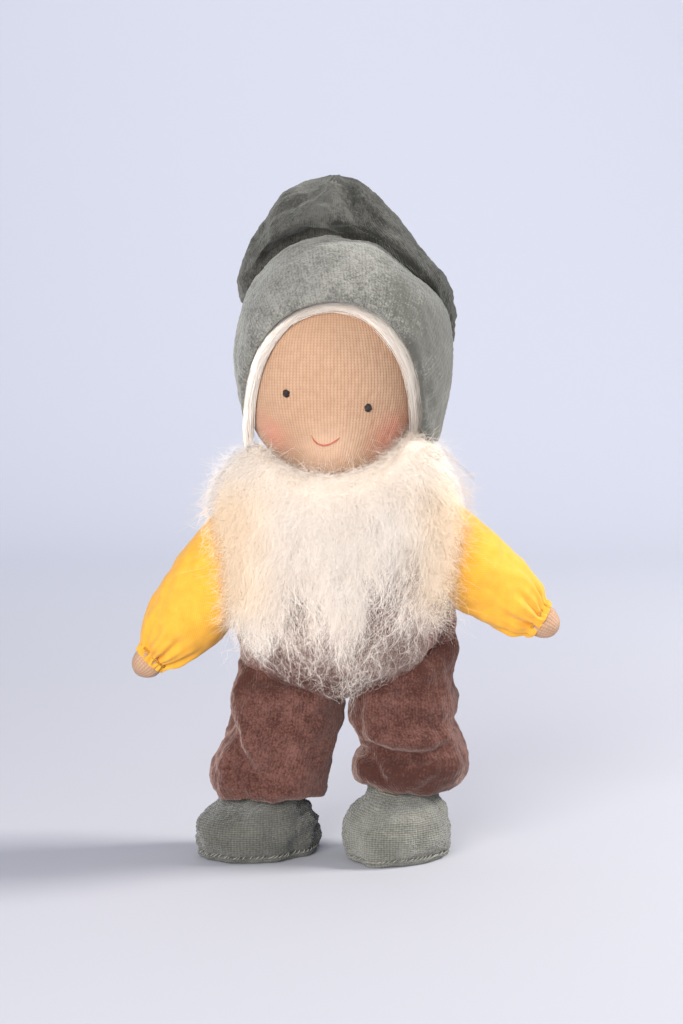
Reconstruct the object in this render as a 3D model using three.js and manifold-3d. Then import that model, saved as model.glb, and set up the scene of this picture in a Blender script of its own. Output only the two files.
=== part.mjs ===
// A soft gnome doll, about 240 mm tall, that stands on its boots.
// Millimetres, +Z up, the doll faces -Y, the origin is on the floor under its middle.
// Right and left are the doll's own: its right arm and leg are on the -X side.

import * as THREE from 'three';
import { mergeVertices } from 'three/addons/utils/BufferGeometryUtils.js';
import Module from 'manifold-3d';

const wasm = await Module();
wasm.setup();

// Cloths, threads and clearances
const velourThickness = 2.4;
const cottonThickness = 1.2;
const jerseyThickness = 1.2;
const terryThickness = 2.6;
const threadRadius = 0.55;
const seamGap = 0.4;
const runningGap = 0.45;
const cutOverrun = 4;

// Belly, a ball of revolution about the hip axis, and the chest above it
const bellyCentreX = -1;
const bellyHalfWidth = 39.3;
const bellyRadius = 28;
const hipAxisZ = 85.4;
const chestCentreX = -4;
const chestHalfWidth = 29.5;
const chestHalfDepth = 20.5;
const chestBottomZ = 104;
const chestTopZ = 127.6;
const waistZ = 97;

// Neck, a stuffed stub that turns in the chest and carries the head on its ball
const neckX = -5;
const neckRadius = 8;
const neckBallRadius = 8.6;
const neckPivotZ = 138;
const neckRootZ = 112;
const neckThreadZ = 129.3;
const nodRangeDeg = 12;

// Head ball
const headX = -5;
const headZ = 168.7;
const headHalfWidth = 31.5;
const headHalfDepth = 31;
const headHalfHeight = 36;

// Face, embroidered on the jersey
const eyeRadius = 1.4;
const eyeReliefShare = 0.75;
const rightEyeX = -20.3;
const rightEyeZ = 164.5;
const leftEyeX = 7.4;
const leftEyeZ = 159.6;
const mouthThreadRadius = 0.4;
const mouthWidth = 9.8;
const mouthDrop = 3;
const mouthX = -7.2;
const mouthZ = 149.6;

// Openings in fleece and hood, arches as seen from the front
const faceArchX = -5;
const faceArchHalfWidth = 28;
const faceArchTopZ = 193;
const hoodArchX = -4;
const hoodArchHalfWidth = 31.2;
const hoodArchTopZ = 196.6;
const archSpringZ = 160;
const fleeceBandThickness = 3.8;
const fleeceBandBottomZ = 148;

// Hood of the hat
const hoodX = -0.8;
const hoodHalfWidth = 37.9;
const hoodHalfDepth = 38;
const hoodBottomZ = 143;
const hoodTopZ = 217.6;
const hoodFrontHemZ = 150;
const hoodHemPitchDeg = 6;

// Peak of the hat, an empty pouch folded over the top of the hood
const peakX = 0.7;
const peakY = 15;
const peakHalfWidth = 38.2;
const peakHalfDepth = 24.2;
const peakBottomZ = 184;
const peakTopZ = 240;
const peakHemRollDeg = 10;

// The fold of the peak over the crown: how deep and tall the hollow under its lip is
const foldX = -6;
const foldZ = 218.6;
const foldDrop = 30;
const foldHeight = 5.5;
const foldDepth = 11;
const foldFrontY = 6;

// Arms, from the shoulder to the gathered wrist
const shoulderZ = 112;
const shoulderInset = 6;
const rightWristX = -67.9;
const rightWristZ = 70.5;
const leftWristX = 66.9;
const leftWristZ = 84.2;
const sleeveHalfWidth = 15.2;
const sleeveHalfDepth = 13.4;
const wristRadius = 5;
const handRadius = 5.9;
const handStemRadius = 3.1;
const handStemLength = 12;
const sweepStep = 2;

// Trouser legs
const crotchX = -0.3;
const rightLegWidth = 40;
const leftLegWidth = 40;
const legHalfDepth = 19.5;
const legY = 1;
const legTopZ = 74;
const rightHemZ = 21.6;
const leftHemZ = 24.2;

// Boots
const bootLength = 46;
const bootWidth = 36;
const bootHeight = 20.4;
const soleThickness = 2.2;
const shaftRadius = 12.4;
const shaftTopZ = 31;
const toeOffset = 6;
const rightAnkleX = -25.6;
const leftAnkleX = 21.2;
const ankleY = 1.6;
const rightBootYawDeg = 60;
const leftBootYawDeg = 25;

// Beard, a fan of fleece over chest and belly
const beardX = -1.5;
const beardTopZ = 152;
const beardTipZ = 56;
const beardHalfWidth = 44.5;
const beardFrontY = -38;
const beardBackY = 8;

// Colours of cloth, fleece and thread
const velourGrey = 0x8d8a80;
const terryGrey = 0x83827a;
const velourBrown = 0x765048;
const cottonYellow = 0xfbcb4f;
const jerseySkin = 0xd9b291;
const fleeceCream = 0xf3e3d3;
const woolStuffing = 0xe6dcc8;
const eyeBrown = 0x2c2220;
const mouthRed = 0xd8705c;
const paleThread = 0xb9b7aa;

const clothRoughness = 0.9;

// How finely the round forms are divided
const bodySides = 20;
const limbSides = 12;
const threadSides = 5;
const loopSteps = 18;
const latheSides = 20;
const archSegments = 14;
const mouthSteps = 8;
const eyeSides = 8;
const eyeRows = 6;

const radians = THREE.MathUtils.degToRad;

// Closed solids from rings of points, and cutting and joining them

function ring(x, y, z, halfWidth, halfDepth, sides) {
  const points = [];
  for (let i = 0; i < sides; i += 1) {
    const turn = (2 * Math.PI * i) / sides;
    const across = halfWidth * Math.cos(turn);
    const along = halfDepth * Math.sin(turn);
    points.push(new THREE.Vector3(x + across, y + along, z));
  }
  return points;
}

function middleOf(points) {
  const middle = new THREE.Vector3();
  points.forEach((point) => middle.add(point));
  return middle.divideScalar(points.length);
}

function stackRings(rings) {
  const sides = rings[0].length;
  const points = rings.flat();
  const triangles = [];
  for (let r = 0; r + 1 < rings.length; r += 1) {
    for (let i = 0; i < sides; i += 1) {
      const next = (i + 1) % sides;
      const a = r * sides + i;
      const b = r * sides + next;
      const c = (r + 1) * sides + next;
      const d = (r + 1) * sides + i;
      triangles.push(a, b, c, a, c, d);
    }
  }
  const last = (rings.length - 1) * sides;
  const bottom = points.push(middleOf(rings[0])) - 1;
  const top = points.push(middleOf(rings[rings.length - 1])) - 1;
  for (let i = 0; i < sides; i += 1) {
    const next = (i + 1) % sides;
    triangles.push(bottom, next, i, top, last + i, last + next);
  }
  return closedGeometry(points, triangles);
}

// A thin tube round a closed loop of points.
function loopTube(centres, radius, sides) {
  const count = centres.length;
  const points = [];
  const triangles = [];
  const middle = middleOf(centres);
  for (let k = 0; k < count; k += 1) {
    const ahead = centres[(k + 1) % count];
    const behind = centres[(k + count - 1) % count];
    const along = ahead.clone().sub(behind).normalize();
    const outward = centres[k].clone().sub(middle).projectOnPlane(along).normalize();
    const across = along.clone().cross(outward);
    for (let i = 0; i < sides; i += 1) {
      const turn = (2 * Math.PI * i) / sides;
      const point = centres[k].clone();
      point.addScaledVector(outward, radius * Math.cos(turn));
      point.addScaledVector(across, radius * Math.sin(turn));
      points.push(point);
      const nextRing = ((k + 1) % count) * sides;
      const next = (i + 1) % sides;
      const a = k * sides + i;
      const b = k * sides + next;
      triangles.push(a, b, nextRing + next, a, nextRing + next, nextRing + i);
    }
  }
  return closedGeometry(points, triangles);
}

function closedGeometry(points, triangles) {
  const volume = signedVolume(points, triangles);
  const facing = volume < 0 ? reversed(triangles) : triangles;
  const geometry = new THREE.BufferGeometry().setFromPoints(points);
  geometry.setIndex(facing);
  return geometry;
}

function signedVolume(points, triangles) {
  let sixfold = 0;
  for (let i = 0; i < triangles.length; i += 3) {
    const [a, b, c] = triangles.slice(i, i + 3).map((corner) => points[corner]);
    sixfold += a.clone().cross(b).dot(c);
  }
  return sixfold / 6;
}

function reversed(triangles) {
  const turned = [];
  for (let i = 0; i < triangles.length; i += 3) {
    turned.push(triangles[i], triangles[i + 2], triangles[i + 1]);
  }
  return turned;
}

function toSolid(geometry) {
  const bare = geometry.clone();
  bare.deleteAttribute('normal');
  bare.deleteAttribute('uv');
  const merged = mergeVertices(bare);
  return new wasm.Manifold(new wasm.Mesh({
    numProp: 3,
    vertProperties: Float32Array.from(merged.attributes.position.array),
    triVerts: Uint32Array.from(merged.index.array),
  }));
}

function toGeometry(solid) {
  const { numProp, vertProperties, triVerts } = solid.getMesh();
  const points = [];
  for (let i = 0; i < vertProperties.length; i += numProp) {
    points.push(vertProperties[i], vertProperties[i + 1], vertProperties[i + 2]);
  }
  const geometry = new THREE.BufferGeometry();
  geometry.setAttribute('position', new THREE.Float32BufferAttribute(points, 3));
  geometry.setIndex(Array.from(triVerts));
  return geometry;
}

// The largest of the pieces that a cut leaves.
function largestPiece(solid) {
  const pieces = solid.decompose();
  return pieces.reduce((best, piece) => (piece.volume() > best.volume() ? piece : best));
}

function boxSolid(low, high) {
  const size = high.clone().sub(low);
  const geometry = new THREE.BoxGeometry(size.x, size.y, size.z);
  geometry.translate((low.x + high.x) / 2, (low.y + high.y) / 2, (low.z + high.z) / 2);
  return toSolid(geometry);
}

// A solid turned about a line parallel to X from points of [distance from the line, x].
function turnedAboutX(outline, y, z) {
  const profile = outline.map(([radius, x]) => new THREE.Vector2(radius, x));
  const geometry = new THREE.LatheGeometry(profile, latheSides);
  geometry.rotateZ(-Math.PI / 2);
  geometry.translate(0, y, z);
  return toSolid(faceOut(geometry));
}

// A solid turned about a vertical line from points of [distance from the line, z].
function turnedAboutZ(outline, x, y, sides) {
  const profile = outline.map(([radius, z]) => new THREE.Vector2(radius, z));
  const geometry = new THREE.LatheGeometry(profile, sides);
  geometry.rotateX(Math.PI / 2);
  geometry.translate(x, y, 0);
  return toSolid(faceOut(geometry));
}

function faceOut(geometry) {
  const bare = geometry.clone();
  bare.deleteAttribute('normal');
  bare.deleteAttribute('uv');
  const merged = mergeVertices(bare);
  const points = [];
  for (let i = 0; i < merged.attributes.position.count; i += 1) {
    points.push(new THREE.Vector3().fromBufferAttribute(merged.attributes.position, i));
  }
  const corners = Array.from(merged.index.array);
  const kept = [];
  for (let i = 0; i < corners.length; i += 3) {
    const [a, b, c] = corners.slice(i, i + 3);
    if (a !== b && b !== c && c !== a) {
      kept.push(a, b, c);
    }
  }
  return closedGeometry(points, kept);
}

// The finished pieces, each under its own name

const doll = new THREE.Group();

function addPiece(name, solid, colour) {
  const material = new THREE.MeshStandardMaterial({
    color: colour,
    roughness: clothRoughness,
    metalness: 0,
  });
  const piece = new THREE.Mesh(toGeometry(solid), material);
  piece.name = name;
  doll.add(piece);
}

// Torso: a ball for the belly that runs over into a narrower chest

const bellyRingShares = [-0.985, -0.9, -0.72, -0.46, -0.16, 0.14, 0.4, 0.58];
const chestRingShares = [
  [0, 1, 1],
  [0.5, 0.96, 0.92],
  [0.84, 0.8, 0.74],
  [1, 0.52, 0.56],
];

function torsoRings(grow) {
  const halfWidth = bellyHalfWidth + grow;
  const radius = bellyRadius + grow;
  const rings = bellyRingShares.map((share) => {
    const slice = Math.sqrt(1 - share * share);
    const z = hipAxisZ + radius * share;
    return ring(bellyCentreX, 0, z, halfWidth * slice, radius * slice, bodySides);
  });
  chestRingShares.forEach(([height, width, depth]) => {
    const z = chestBottomZ + grow * height + (chestTopZ - chestBottomZ) * height;
    const across = chestHalfWidth * width + grow;
    rings.push(ring(chestCentreX, 0, z, across, chestHalfDepth * depth + grow, bodySides));
  });
  return rings;
}

const torsoForm = toSolid(stackRings(torsoRings(0)));
const torsoClear = toSolid(stackRings(torsoRings(seamGap)));
const covers = torsoForm.subtract(toSolid(stackRings(torsoRings(-velourThickness))));
const stuffedTorso = toSolid(stackRings(torsoRings(-velourThickness - seamGap)));

const wide = 2 * (bellyHalfWidth + bellyRadius);
const corner = (x, y, z) => new THREE.Vector3(x, y, z);
const belowWaist = boxSolid(corner(-wide, -wide, -wide), corner(wide, wide, waistZ));
const aboveWaist = boxSolid(corner(-wide, -wide, waistZ + seamGap), corner(wide, wide, wide * 2));

const neckHole = turnedAboutZ([
  [0, neckRootZ - runningGap],
  [neckRadius + runningGap, neckRootZ - runningGap],
  [neckRadius + runningGap, chestTopZ + cutOverrun],
  [0, chestTopZ + cutOverrun],
], neckX, 0, limbSides);

addPiece('trouser_seat', covers.intersect(belowWaist), velourBrown);
addPiece('shirt_body', covers.intersect(aboveWaist).subtract(neckHole), cottonYellow);
addPiece('torso_stuffing', stuffedTorso.subtract(neckHole), woolStuffing);

// Neck: a jersey stub with a ball end, and the thread that ties it off

const ballSideShares = [0.35, 0.6, 0.8, 0.93, 1];
const neckOutline = [[0, neckRootZ], [neckRadius, neckRootZ]];
neckOutline.push([neckRadius, neckPivotZ - neckBallRadius / 2]);
[...ballSideShares].reverse().forEach((share) => {
  const height = neckBallRadius * Math.sqrt(1 - share * share);
  neckOutline.push([neckBallRadius * share, neckPivotZ + height]);
});
neckOutline.push([0, neckPivotZ + neckBallRadius]);
addPiece('neck_stub', turnedAboutZ(neckOutline, neckX, 0, limbSides), jerseySkin);

function roundLoop(x, y, z, radius) {
  return ring(x, y, z, radius, radius, loopSteps);
}

const neckThreadLoop = roundLoop(neckX, 0, neckThreadZ, neckRadius + seamGap + threadRadius);
addPiece('neck_tie_thread', toSolid(loopTube(neckThreadLoop, threadRadius, threadSides)), paleThread);

// Head: a wound wool ball with a socket for the neck, in a jersey skin

const headRingShares = [-0.98, -0.9, -0.72, -0.46, -0.16, 0.16, 0.46, 0.72, 0.9, 0.98];

function headRings(grow) {
  return headRingShares.map((share) => {
    const slice = Math.sqrt(1 - share * share);
    const z = headZ + (headHalfHeight + grow) * share;
    const across = (headHalfWidth + grow) * slice;
    return ring(headX, 0, z, across, (headHalfDepth + grow) * slice, bodySides);
  });
}

const headForm = (grow) => toSolid(stackRings(headRings(grow)));
const nodSpread = Math.tan(radians(nodRangeDeg)) * neckBallRadius + runningGap;
const socketOutline = [[0, neckRootZ], [neckBallRadius + 2 * nodSpread, neckRootZ]];
socketOutline.push([neckBallRadius + 2 * nodSpread, neckPivotZ - neckBallRadius - cutOverrun]);
socketOutline.push([neckBallRadius + runningGap, neckPivotZ]);
[...ballSideShares].reverse().slice(1).forEach((share) => {
  const radius = neckBallRadius + runningGap;
  socketOutline.push([radius * share, neckPivotZ + radius * Math.sqrt(1 - share * share)]);
});
socketOutline.push([0, neckPivotZ + neckBallRadius + runningGap]);
const neckSocket = turnedAboutZ(socketOutline, neckX, 0, limbSides);

const headSkin = headForm(0).subtract(headForm(-jerseyThickness)).subtract(neckSocket);
addPiece('head_skin', headSkin, jerseySkin);
addPiece('head_core', headForm(-jerseyThickness - seamGap).subtract(neckSocket), woolStuffing);

// The front of the head at a place seen from the front, raised by a distance.
function faceY(x, z, raised) {
  const across = (x - headX) / (headHalfWidth + raised);
  const up = (z - headZ) / (headHalfHeight + raised);
  return -(headHalfDepth + raised) * Math.sqrt(1 - across * across - up * up);
}

function addEye(name, x, z) {
  const knot = new THREE.SphereGeometry(eyeRadius, eyeSides, eyeRows);
  knot.scale(1, eyeReliefShare, 1);
  knot.translate(x, faceY(x, z, seamGap) - eyeRadius * eyeReliefShare, z);
  addPiece(name, toSolid(faceOut(knot)), eyeBrown);
}

addEye('eye_right', rightEyeX, rightEyeZ);
addEye('eye_left', leftEyeX, leftEyeZ);

const mouthShares = [[-0.5, 0], [-0.3, -0.62], [-0.02, -1], [0.26, -0.7], [0.5, 0]];
const mouthPoints = mouthShares.map(([across, down]) => {
  const x = mouthX + mouthWidth * across;
  const z = mouthZ + mouthDrop * down;
  return corner(x, faceY(x, z, seamGap + mouthThreadRadius), z);
});
const threadSection = new THREE.Shape().absarc(0, 0, mouthThreadRadius, 0, 2 * Math.PI);
const mouthThread = new THREE.ExtrudeGeometry(threadSection, {
  steps: mouthSteps,
  curveSegments: threadSides,
  bevelEnabled: false,
  extrudePath: new THREE.CatmullRomCurve3(mouthPoints),
});
addPiece('mouth_stitch', toSolid(faceOut(mouthThread)), mouthRed);

// Arches seen from the front: round above their spring line, straight below it

function archSolid(x, halfWidth, topZ, bottomZ) {
  const outline = new THREE.Shape();
  outline.moveTo(x - halfWidth, bottomZ);
  outline.lineTo(x + halfWidth, bottomZ);
  outline.lineTo(x + halfWidth, archSpringZ);
  outline.absellipse(x, archSpringZ, halfWidth, topZ - archSpringZ, 0, Math.PI, false, 0);
  outline.closePath();
  const reach = hoodHalfDepth + cutOverrun;
  const geometry = new THREE.ExtrudeGeometry(outline, {
    depth: reach,
    bevelEnabled: false,
    curveSegments: archSegments,
  });
  geometry.rotateX(Math.PI / 2);
  return toSolid(faceOut(geometry));
}

const faceArch = archSolid(faceArchX, faceArchHalfWidth, faceArchTopZ, fleeceBandBottomZ - cutOverrun);
const bandArch = archSolid(
  hoodArchX,
  hoodArchHalfWidth - seamGap,
  hoodArchTopZ - seamGap,
  fleeceBandBottomZ,
);
const hoodArch = archSolid(hoodArchX, hoodArchHalfWidth, hoodArchTopZ, hoodBottomZ - cutOverrun);
const bandForm = headForm(fleeceBandThickness + seamGap).subtract(headForm(seamGap));
addPiece('hair_fleece', largestPiece(bandForm.intersect(bandArch).subtract(faceArch)), fleeceCream);

// Hat: a hood round the head and an empty peak folded over it

const hoodRingShares = [
  [0, 0.83, 0.86],
  [0.11, 0.89, 0.9],
  [0.24, 0.955, 0.97],
  [0.39, 1, 1],
  [0.55, 0.975, 0.98],
  [0.7, 0.87, 0.89],
  [0.82, 0.72, 0.74],
  [0.91, 0.53, 0.55],
  [0.97, 0.31, 0.33],
  [1, 0.1, 0.12],
];

function hoodRings(grow) {
  return hoodRingShares.map(([height, width, depth]) => {
    const z = hoodBottomZ + (hoodTopZ + grow - hoodBottomZ) * height;
    const across = Math.max(hoodHalfWidth * width + grow, velourThickness);
    const along = Math.max(hoodHalfDepth * depth + grow, velourThickness);
    return ring(hoodX, 0, z, across, along, bodySides);
  });
}

const hoodForm = (grow) => toSolid(stackRings(hoodRings(grow)));
const below = boxSolid(corner(-wide, -wide, -wide), corner(wide, wide, 0));
const hoodHemCut = below.rotate([hoodHemPitchDeg, 0, 0]).translate([0, 0, hoodFrontHemZ - seamGap]);
const hollowBelow = boxSolid(
  corner(-hoodHalfWidth / 2, -hoodHalfDepth / 2, hoodBottomZ - cutOverrun),
  corner(hoodHalfWidth / 2, hoodHalfDepth / 2, hoodFrontHemZ),
);
const hoodShell = hoodForm(0).subtract(hoodForm(-velourThickness)).subtract(hollowBelow);
const hood = hoodShell.subtract(headForm(seamGap)).subtract(hoodArch).subtract(hoodHemCut);
addPiece('hat_hood', largestPiece(hood), velourGrey);

// Loose wool that fills the hood round the head
const waddingForm = hoodForm(-velourThickness - seamGap).subtract(hollowBelow).subtract(headForm(seamGap));
const waddingHemCut = hoodHemCut.translate([0, 0, velourThickness]);
const wadding = waddingForm.subtract(hoodArch).subtract(waddingHemCut);
addPiece('hat_wadding', largestPiece(wadding), woolStuffing);

// Each ring of the peak: height, half width, half depth, shift to the left, shift to the back
const peakRingShares = [
  [0, 0.985, 0.95, 0, 0],
  [0.2, 1, 0.99, 0, -0.01],
  [0.36, 0.94, 1, -0.035, -0.06],
  [0.46, 0.875, 0.99, -0.065, -0.1],
  [0.555, 0.785, 0.965, -0.1, -0.14],
  [0.624, 0.715, 0.925, -0.125, -0.17],
  [0.69, 0.64, 0.865, -0.14, -0.195],
  [0.78, 0.54, 0.76, -0.135, -0.23],
  [0.873, 0.425, 0.61, -0.12, -0.27],
  [0.956, 0.25, 0.39, -0.08, -0.32],
  [1, 0.055, 0.1, -0.06, -0.35],
];
const foldEaseShare = 0.6;
const smoothStep = THREE.MathUtils.smoothstep;

// The front of the peak turns back under a lip, along a line that follows the crown.
function foldUnder(point, grow) {
  const crown = foldZ - foldDrop * ((point.x - foldX) / hoodHalfWidth) ** 2;
  const under = 1 - smoothStep(point.z - crown + 2 * grow, 0, foldHeight);
  const front = smoothStep(-point.y, -foldFrontY, foldFrontY);
  const eased = 1 - foldEaseShare * smoothStep(point.x, foldX, hoodHalfWidth / 2);
  point.y += foldDepth * under * front * eased;
}

function peakRings(grow) {
  return peakRingShares.map(([height, width, depth, left, back]) => {
    const z = peakBottomZ + (peakTopZ + grow - peakBottomZ) * height;
    const across = Math.max(peakHalfWidth * width + grow, velourThickness / 2);
    const along = Math.max(peakHalfDepth * depth + grow, velourThickness / 2);
    const x = peakX + peakHalfWidth * left;
    const points = ring(x, peakY + peakHalfDepth * back, z, across, along, bodySides);
    points.forEach((point) => foldUnder(point, grow));
    return points;
  });
}

const peakForm = (grow) => toSolid(stackRings(peakRings(grow)));
const peakHemCut = below.rotate([0, peakHemRollDeg, 0]).translate([0, 0, peakBottomZ + velourThickness * 2]);
const peakShell = peakForm(0).subtract(hoodForm(seamGap)).subtract(peakHemCut);
const peakHollow = peakForm(-velourThickness).subtract(hoodForm(-velourThickness));
addPiece('hat_peak', largestPiece(peakShell.subtract(peakHollow)), velourGrey);

// Arms: a cotton sleeve over a stuffed arm, gathered at the wrist over a jersey hand.
// Their inner ends follow whatever the torso sweeps past the shoulder line as they swing.

// Each ring of a sleeve: place along the arm, half width, half depth, swell to the outside
const rightSleeveShares = [
  [-0.12, 0.81, 0.82, 0.085],
  [0.1, 1.04, 0.985, 0.19],
  [0.35, 1.065, 1.03, 0.185],
  [0.62, 0.98, 0.985, 0.12],
  [0.82, 0.79, 0.82, 0.05],
  [0.93, 0.58, 0.63, 0.02],
];
const leftSleeveShares = [
  [-0.12, 0.83, 0.81, 0.13],
  [0.1, 1.04, 0.985, 0.265],
  [0.3, 1.04, 1.03, 0.29],
  [0.55, 0.96, 0.985, 0.22],
  [0.8, 0.8, 0.82, 0.1],
  [0.93, 0.62, 0.64, 0.04],
];

function sweptPast(points, side) {
  const reach = Math.hypot(rightWristX - leftWristX, shoulderZ) + cutOverrun;
  const count = Math.ceil(reach / sweepStep);
  const start = bellyCentreX;
  const furthest = new Array(count + 1).fill(start);
  points.forEach((point) => {
    const distance = Math.hypot(point.y, point.z - shoulderZ);
    const slot = Math.min(Math.round(distance / sweepStep), count);
    [slot - 1, slot, slot + 1].filter((k) => k >= 0 && k <= count).forEach((k) => {
      furthest[k] = side > 0 ? Math.max(furthest[k], point.x) : Math.min(furthest[k], point.x);
    });
  });
  const outline = furthest.map((x, k) => [k * sweepStep, x]);
  outline.push([count * sweepStep, start - side * cutOverrun]);
  outline.push([0, start - side * cutOverrun]);
  return turnedAboutX(outline, 0, shoulderZ);
}

// More points between the rings of a form, so that a sweep misses none of it.
function fillPoints(rings) {
  const filled = [];
  for (let r = 0; r + 1 < rings.length; r += 1) {
    rings[r].forEach((point, i) => {
      const next = rings[r + 1][i];
      const steps = Math.max(1, Math.ceil(point.distanceTo(next) / sweepStep));
      for (let k = 0; k <= steps; k += 1) {
        filled.push(point.clone().lerp(next, k / steps));
      }
    });
  }
  return filled;
}

const torsoSurface = fillPoints(torsoRings(seamGap));

function armRings(side, wristX, wristZ, grow, shares) {
  const shoulderX = chestCentreX + side * (chestHalfWidth - shoulderInset);
  const axis = corner(wristX - shoulderX, 0, wristZ - shoulderZ);
  const outward = corner(-side * axis.z, 0, side * axis.x).normalize();
  return shares.map(([along, width, depth, swell]) => {
    const points = [];
    const centre = corner(shoulderX, 0, shoulderZ).addScaledVector(axis, along);
    centre.addScaledVector(outward, sleeveHalfWidth * swell);
    for (let i = 0; i < limbSides; i += 1) {
      const turn = (2 * Math.PI * i) / limbSides;
      const point = centre.clone();
      point.addScaledVector(outward, (sleeveHalfWidth * width + grow) * Math.cos(turn));
      point.y += (sleeveHalfDepth * depth + grow) * Math.sin(turn);
      points.push(point);
    }
    return points;
  });
}

const wristShare = (radius) => radius / sleeveHalfWidth;
const threadPlaceShare = 0.975;
const cuffEndShare = 1.02;
const handShares = [0.6, 0.1, -0.4, -0.8, -0.97];

function addArm(side, name, wristX, wristZ, sleeveShares) {
  const shoulderX = chestCentreX + side * (chestHalfWidth - shoulderInset);
  const cuffShares = [
    [threadPlaceShare, wristShare(wristRadius), wristShare(wristRadius), 0],
    [cuffEndShare, wristShare(wristRadius + cottonThickness), wristShare(wristRadius + cottonThickness), 0],
  ];
  const shares = [...sleeveShares, ...cuffShares];
  const arm = (grow, list) => toSolid(stackRings(armRings(side, wristX, wristZ, grow, list)));
  const swept = sweptPast(torsoSurface, side);
  const axis = corner(wristX - shoulderX, 0, wristZ - shoulderZ);
  const length = axis.length();
  const down = axis.clone().normalize();

  const boreRadius = handStemRadius + runningGap;
  const pointAt = (along) => corner(shoulderX, 0, shoulderZ).addScaledVector(down, along);
  const across = corner(down.z, 0, -down.x);
  const roundAt = (along, radius, sides) => {
    const points = [];
    for (let i = 0; i < sides; i += 1) {
      const turn = (2 * Math.PI * i) / sides;
      const point = pointAt(along).addScaledVector(across, radius * Math.cos(turn));
      point.y += radius * Math.sin(turn);
      points.push(point);
    }
    return points;
  };
  const stemTop = length - handStemLength;
  const bore = toSolid(stackRings([
    roundAt(stemTop - runningGap, boreRadius, limbSides),
    roundAt(length * cuffEndShare + cutOverrun, boreRadius, limbSides),
  ]));

  const inside = arm(-cottonThickness, sleeveShares);
  const sleeve = arm(0, shares).subtract(inside).subtract(bore).subtract(swept);
  addPiece(`sleeve_${name}`, largestPiece(sleeve), cottonYellow);

  const stuffing = arm(-cottonThickness - seamGap, sleeveShares).subtract(bore).subtract(swept);
  addPiece(`arm_stuffing_${name}`, largestPiece(stuffing), woolStuffing);

  const handCentre = length * cuffEndShare + handRadius * handShares[0] + seamGap;
  const handRings = [
    roundAt(stemTop, handStemRadius, limbSides),
    roundAt(handCentre - handRadius * handShares[0], handStemRadius, limbSides),
  ];
  handShares.forEach((share) => {
    const radius = handRadius * Math.sqrt(1 - share * share);
    handRings.push(roundAt(handCentre - handRadius * share, radius, limbSides));
  });
  addPiece(`hand_${name}`, toSolid(stackRings(handRings)), jerseySkin);

  const loopRadius = wristRadius + seamGap + threadRadius;
  const loop = roundAt(length * threadPlaceShare, loopRadius, loopSteps);
  const clear = arm(seamGap / 2, shares);
  const thread = toSolid(loopTube(loop, threadRadius, threadSides)).subtract(clear);
  addPiece(`wrist_thread_${name}`, largestPiece(thread), cottonYellow);
}

addArm(-1, 'right', rightWristX, rightWristZ, rightSleeveShares);
addArm(1, 'left', leftWristX, leftWristZ, leftSleeveShares);

// Legs: a velour trouser leg over a stuffed leg, hung on the belly's ball at the hip line

const rightLegShares = [
  [1, 0.93, 0.03, 0.94],
  [0.84, 0.97, 0.02, 1],
  [0.62, 1.01, 0.02, 1],
  [0.42, 1.06, 0.04, 1.01],
  [0.22, 1.16, 0.08, 1.02],
  [0.08, 1.205, 0.13, 0.98],
  [0, 1.15, 0.165, 0.88],
];
const leftLegShares = [
  [1, 0.97, 0.05, 0.94],
  [0.84, 0.985, 0.03, 1],
  [0.62, 0.97, 0.03, 1],
  [0.42, 1.03, 0.04, 1.01],
  [0.22, 1.1, 0.08, 1.04],
  [0.09, 1.07, 0.1, 1],
  [0, 0.97, 0.16, 0.86],
];

function legRings(side, width, hemZ, shares, grow) {
  return shares.map(([height, outer, inner, depth]) => {
    const z = hemZ + (legTopZ - hemZ) * height;
    const outerX = crotchX + side * width * outer;
    const innerX = crotchX + side * width * inner;
    const across = Math.abs(outerX - innerX) / 2 + grow;
    return ring((outerX + innerX) / 2, legY, z, across, legHalfDepth * depth + grow, bodySides);
  });
}

const bellyTurnedClear = (() => {
  const radius = bellyRadius + runningGap;
  const half = bellyHalfWidth + runningGap;
  const outline = [[0, bellyCentreX - half]];
  for (let i = 1; i < latheSides; i += 1) {
    const turn = (Math.PI * i) / latheSides;
    outline.push([radius * Math.sin(turn), bellyCentreX - half * Math.cos(turn)]);
  }
  outline.push([0, bellyCentreX + half]);
  return turnedAboutX(outline, 0, hipAxisZ);
})();

function addLeg(side, name, width, hemZ, ankleX, shares) {
  const form = (grow) => toSolid(stackRings(legRings(side, width, hemZ, shares, grow)));
  const ankleBore = turnedAboutZ([
    [0, hemZ - cutOverrun],
    [shaftRadius + 2 * runningGap, hemZ - cutOverrun],
    [shaftRadius + 2 * runningGap, shaftTopZ + runningGap],
    [0, shaftTopZ + runningGap],
  ], ankleX, ankleY, limbSides);
  const inside = form(-velourThickness);
  const leg = form(0).subtract(inside).subtract(ankleBore).subtract(bellyTurnedClear);
  addPiece(`trouser_leg_${name}`, largestPiece(leg), velourBrown);

  const core = form(-velourThickness - seamGap).subtract(bellyTurnedClear);
  const aboveShaft = boxSolid(corner(-wide, -wide, shaftTopZ + runningGap), corner(wide, wide, wide));
  addPiece(`leg_core_${name}`, largestPiece(core.intersect(aboveShaft)), jerseySkin);
}

addLeg(-1, 'right', rightLegWidth, rightHemZ, rightAnkleX, rightLegShares);
addLeg(1, 'left', leftLegWidth, leftHemZ, leftAnkleX, leftLegShares);

// Boots: a plush upper with a round shaft, a flat sole, stuffing and a seam thread

const upperRingShares = [
  [0, 0.97, 0],
  [0.22, 1, 0],
  [0.45, 0.99, 0],
  [0.66, 0.93, 0],
  [0.82, 0.83, 0.08],
  [0.93, 0.72, 0.3],
  [1, 0.66, 0.85],
];

const soleRingShares = [[0, 0.9], [0.5, 0.95], [1, 0.97]];
const seamPlaceShare = 0.98;

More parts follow.
